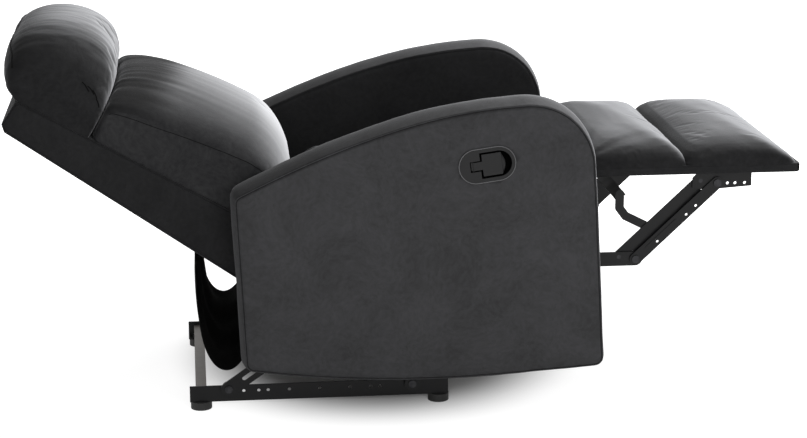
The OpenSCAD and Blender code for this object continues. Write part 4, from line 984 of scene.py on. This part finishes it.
def headrest_folds(points, normals):
    p = cushion_frame(points)
    turn = np.arctan2(p[:, 0] - 0.06, p[:, 2] - 0.485)
    side = smooth_step(0.5, 0.9, np.abs(normals[:, 1]))
    near_end = np.exp(-np.maximum(0.225 - np.abs(p[:, 1]), 0) / 0.08)
    rings = noise_at(np.stack([p[:, 1] * 52, np.cos(turn) * 1.4, np.sin(turn) * 1.4], 1), 1.0, 2.0)
    fine = noise_at(np.stack([p[:, 1] * 130, np.cos(turn) * 2.4, np.sin(turn) * 2.4], 1), 1.0, 6.0)
    creases = noise_at(np.stack([p[:, 2] * 38 + p[:, 0] * 14, p[:, 0] * 7, p[:, 1] * 5], 1), 1.0, 9.0)
    broad = noise_at(p, (9, 6, 9), 1.0)
    front = smooth_step(0.02, 0.12, p[:, 0])
    gathers = (rings * 0.0012 + fine * 0.0007) * (1 - side) * (0.3 + near_end * (0.4 + front))
    return gathers + creases * 0.0018 * (0.2 + side) + broad * 0.0026


def pad_folds(seed, fan_x, fan_y, reach):
    def field(points, normals):
        x, y = points[:, 0] - panel_at[0], points[:, 1]
        turn = np.arctan2(y - fan_y, x - fan_x)
        far = np.hypot(x - fan_x, y - fan_y)
        fan = noise_at(np.stack([turn * 7, far * 5, np.zeros_like(x)], 1), 1.0, seed) * np.exp(-far / 0.16)
        cross = noise_at(np.stack([x * 20 + y * 6, y * 4, points[:, 2] * 10], 1), 1.0, seed + 2)
        low = np.exp(-(points[:, 2] - panel_at[1] - pad_foot) / 0.016)
        tucks = noise_at(np.stack([x * 110, y * 110, points[:, 2] * 10], 1), 1.0, seed + 5)
        crisp = -np.abs(tucks) ** 0.7
        top = smooth_step(0.2, 0.8, normals[:, 2])
        broad = noise_at(points, (9, 6, 9), seed)
        return fan * reach * top + cross * 0.0012 * (0.3 + top) + crisp * 0.0014 * low + broad * 0.0012
    return field


def shape_surface(piece, field):
    """Moves each point along its normal by field(points, normals), in metres."""
    points, normals = skin_points(piece.data)
    points += normals * field(points, normals)[:, None]
    piece.data.vertices.foreach_set("co", points.ravel())
    piece.data.update()


def finish_cushion(piece, body, node, field):
    shape_surface(piece, field)
    fine = piece.modifiers.new("smooth_cloth", "SUBSURF")
    fine.levels = fine.render_levels = 1
    piece.data.polygons.foreach_set("use_smooth", [True] * len(piece.data.polygons))
    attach(piece, body)
    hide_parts(node)


finish_cushion(lumbar, "back", "back_cushion", lumbar_folds)
finish_cushion(headrest, "back", "headrest_cushion", headrest_folds)
finish_cushion(upper_pad, "footrest", "footrest_upper_cushion", pad_folds(1.5, -0.27, -0.24, 0.0034))
finish_cushion(lower_pad, "footrest", "footrest_lower_cushion", pad_folds(6.5, 0.16, 0.24, 0.0012))


def laid_on(piece, points, lift=0.0):
    """The nearest places on a piece's skin, lifted off it a little."""
    mesh = piece.data
    skin = BVHTree.FromPolygons([v.co for v in mesh.vertices], [list(f.vertices) for f in mesh.polygons])
    found = [skin.find_nearest(Vector(p)) for p in points]
    line = np.array([place + normal * lift for place, normal, *_ in found])
    for _ in range(4):
        line[1:-1] = (line[:-2] + 2 * line[1:-1] + line[2:]) / 4
    return line


# The lumbar cushion's side seams, and at the headrest's ends four short gathers each, as out and up; the
# gathers are drawn as dark lines of painted shade in their folds
side_seam = [[0.060, 0.380], [0.0675, 0.365], [0.079, 0.275], [0.0915, 0.184], [0.100, 0.111], [0.101, 0.040]]
side_seam = on_front(even_steps(side_seam, 90))
gathers = (
    ((0.0926, 0.4445), (0.0812, 0.4264)), ((0.0911, 0.4315), (0.0813, 0.4142)),
    ((0.0888, 0.4201), (0.0765, 0.4035)), ((0.0756, 0.4051), (0.0640, 0.3925)),
)
for label, side in both_sides:
    stitch("lumbar_seam_" + label, laid_on(lumbar, at_y(side_seam, side * 0.240)), 0.0006, "back")
    for count, (start, end) in enumerate(gathers):
        bend = ((start[0] + end[0]) / 2 + 0.003, (start[1] + end[1]) / 2 + 0.001)
        bent = at_y(on_front(even_steps([start, bend, end], 12)), side * 0.232)
        stitch(f"headrest_gather_{label}_{count}", laid_on(headrest, bent, 0.0006), 0.0011, "back")
# The zip runs across the headrest's rear, as out, across and up
zip_line = even_steps([[0.088, 0.215, 0.588], [0.084, 0.1, 0.592], [0.078, -0.1, 0.590],
                       [0.066, -0.19, 0.580], [0.050, -0.215, 0.570]], 120)
zip_line = np.insert(on_front(zip_line[:, [0, 2]]), 1, zip_line[:, 1], axis=1)
stitch("headrest_zip", laid_on(headrest, zip_line), 0.0016, "back")
finish_cushion(seat, "body", "seat_cushion", lambda points, normals: noise_at(points, (6, 5, 8), 3.0) * 0.0015)

# Rear valance: one piece of black lining stapled to the back's rear rail and to the batten between the arms.
# It hangs slack, in shallow folds.
valance_line = np.array([
    [-73, 262], [-75, 230], [-75.5, 190], [-75, 150], [-73, 110], [-69, 80], [-60, 50], [-46, 29], [-28, 24],
    [-12, 33], [2, 50], [12, 61.5], [28, 66.9],
]) / 1000


def valance():
    rows, columns = 72, 96
    line = even_steps(valance_line, rows)
    kernel = np.array([1, 4, 6, 4, 1]) / 16
    for _ in range(6):
        line[2:-2] = sum(k * line[i:rows - 4 + i] for i, k in enumerate(kernel))
    ahead = np.gradient(line, axis=0)
    ahead /= np.linalg.norm(ahead, axis=1)[:, None]
    out = np.stack([ahead[:, 1], -ahead[:, 0]], 1)
    points = []
    for i in range(rows):
        for j in range(columns):
            y = 0.2365 * (2 * j / (columns - 1) - 1)
            hang = math.sin(math.pi * i / (rows - 1))
            fold = 0.0045 * hang * math.sin(2 * math.pi * 3 * j / (columns - 1) + 0.035 * i + 0.6)
            fold += 0.003 * hang * noise.noise(Vector((y * 22, i * 0.045, 2.0)))
            # The far edge is stapled a little shorter, so that it hangs higher and flatter
            short = 0.020 * hang * (j / (columns - 1)) ** 2
            x, z = body_points(np.array([line[i] + out[i] * fold + [0.6 * short * (1 - i / rows), short]]))[0]
            points.append((x, y, z))
    corners = (i * columns + j for i in range(rows - 1) for j in range(columns - 1))
    faces = [(a, a + 1, a + columns + 1, a + columns) for a in corners]
    # One face takes the darker copy of the velvet, painted shade, and the other face the lining
    piece = new_piece("rear_valance_cloth", points, faces, velvet_painted_shade, lining)
    piece.data.polygons.foreach_set("use_smooth", [True] * len(faces))
    thick = piece.modifiers.new("cloth_thickness", "SOLIDIFY")
    thick.thickness, thick.offset, thick.material_offset = 0.0008, 0.0, 1
    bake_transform(piece)
    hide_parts("rear_valance")


valance()
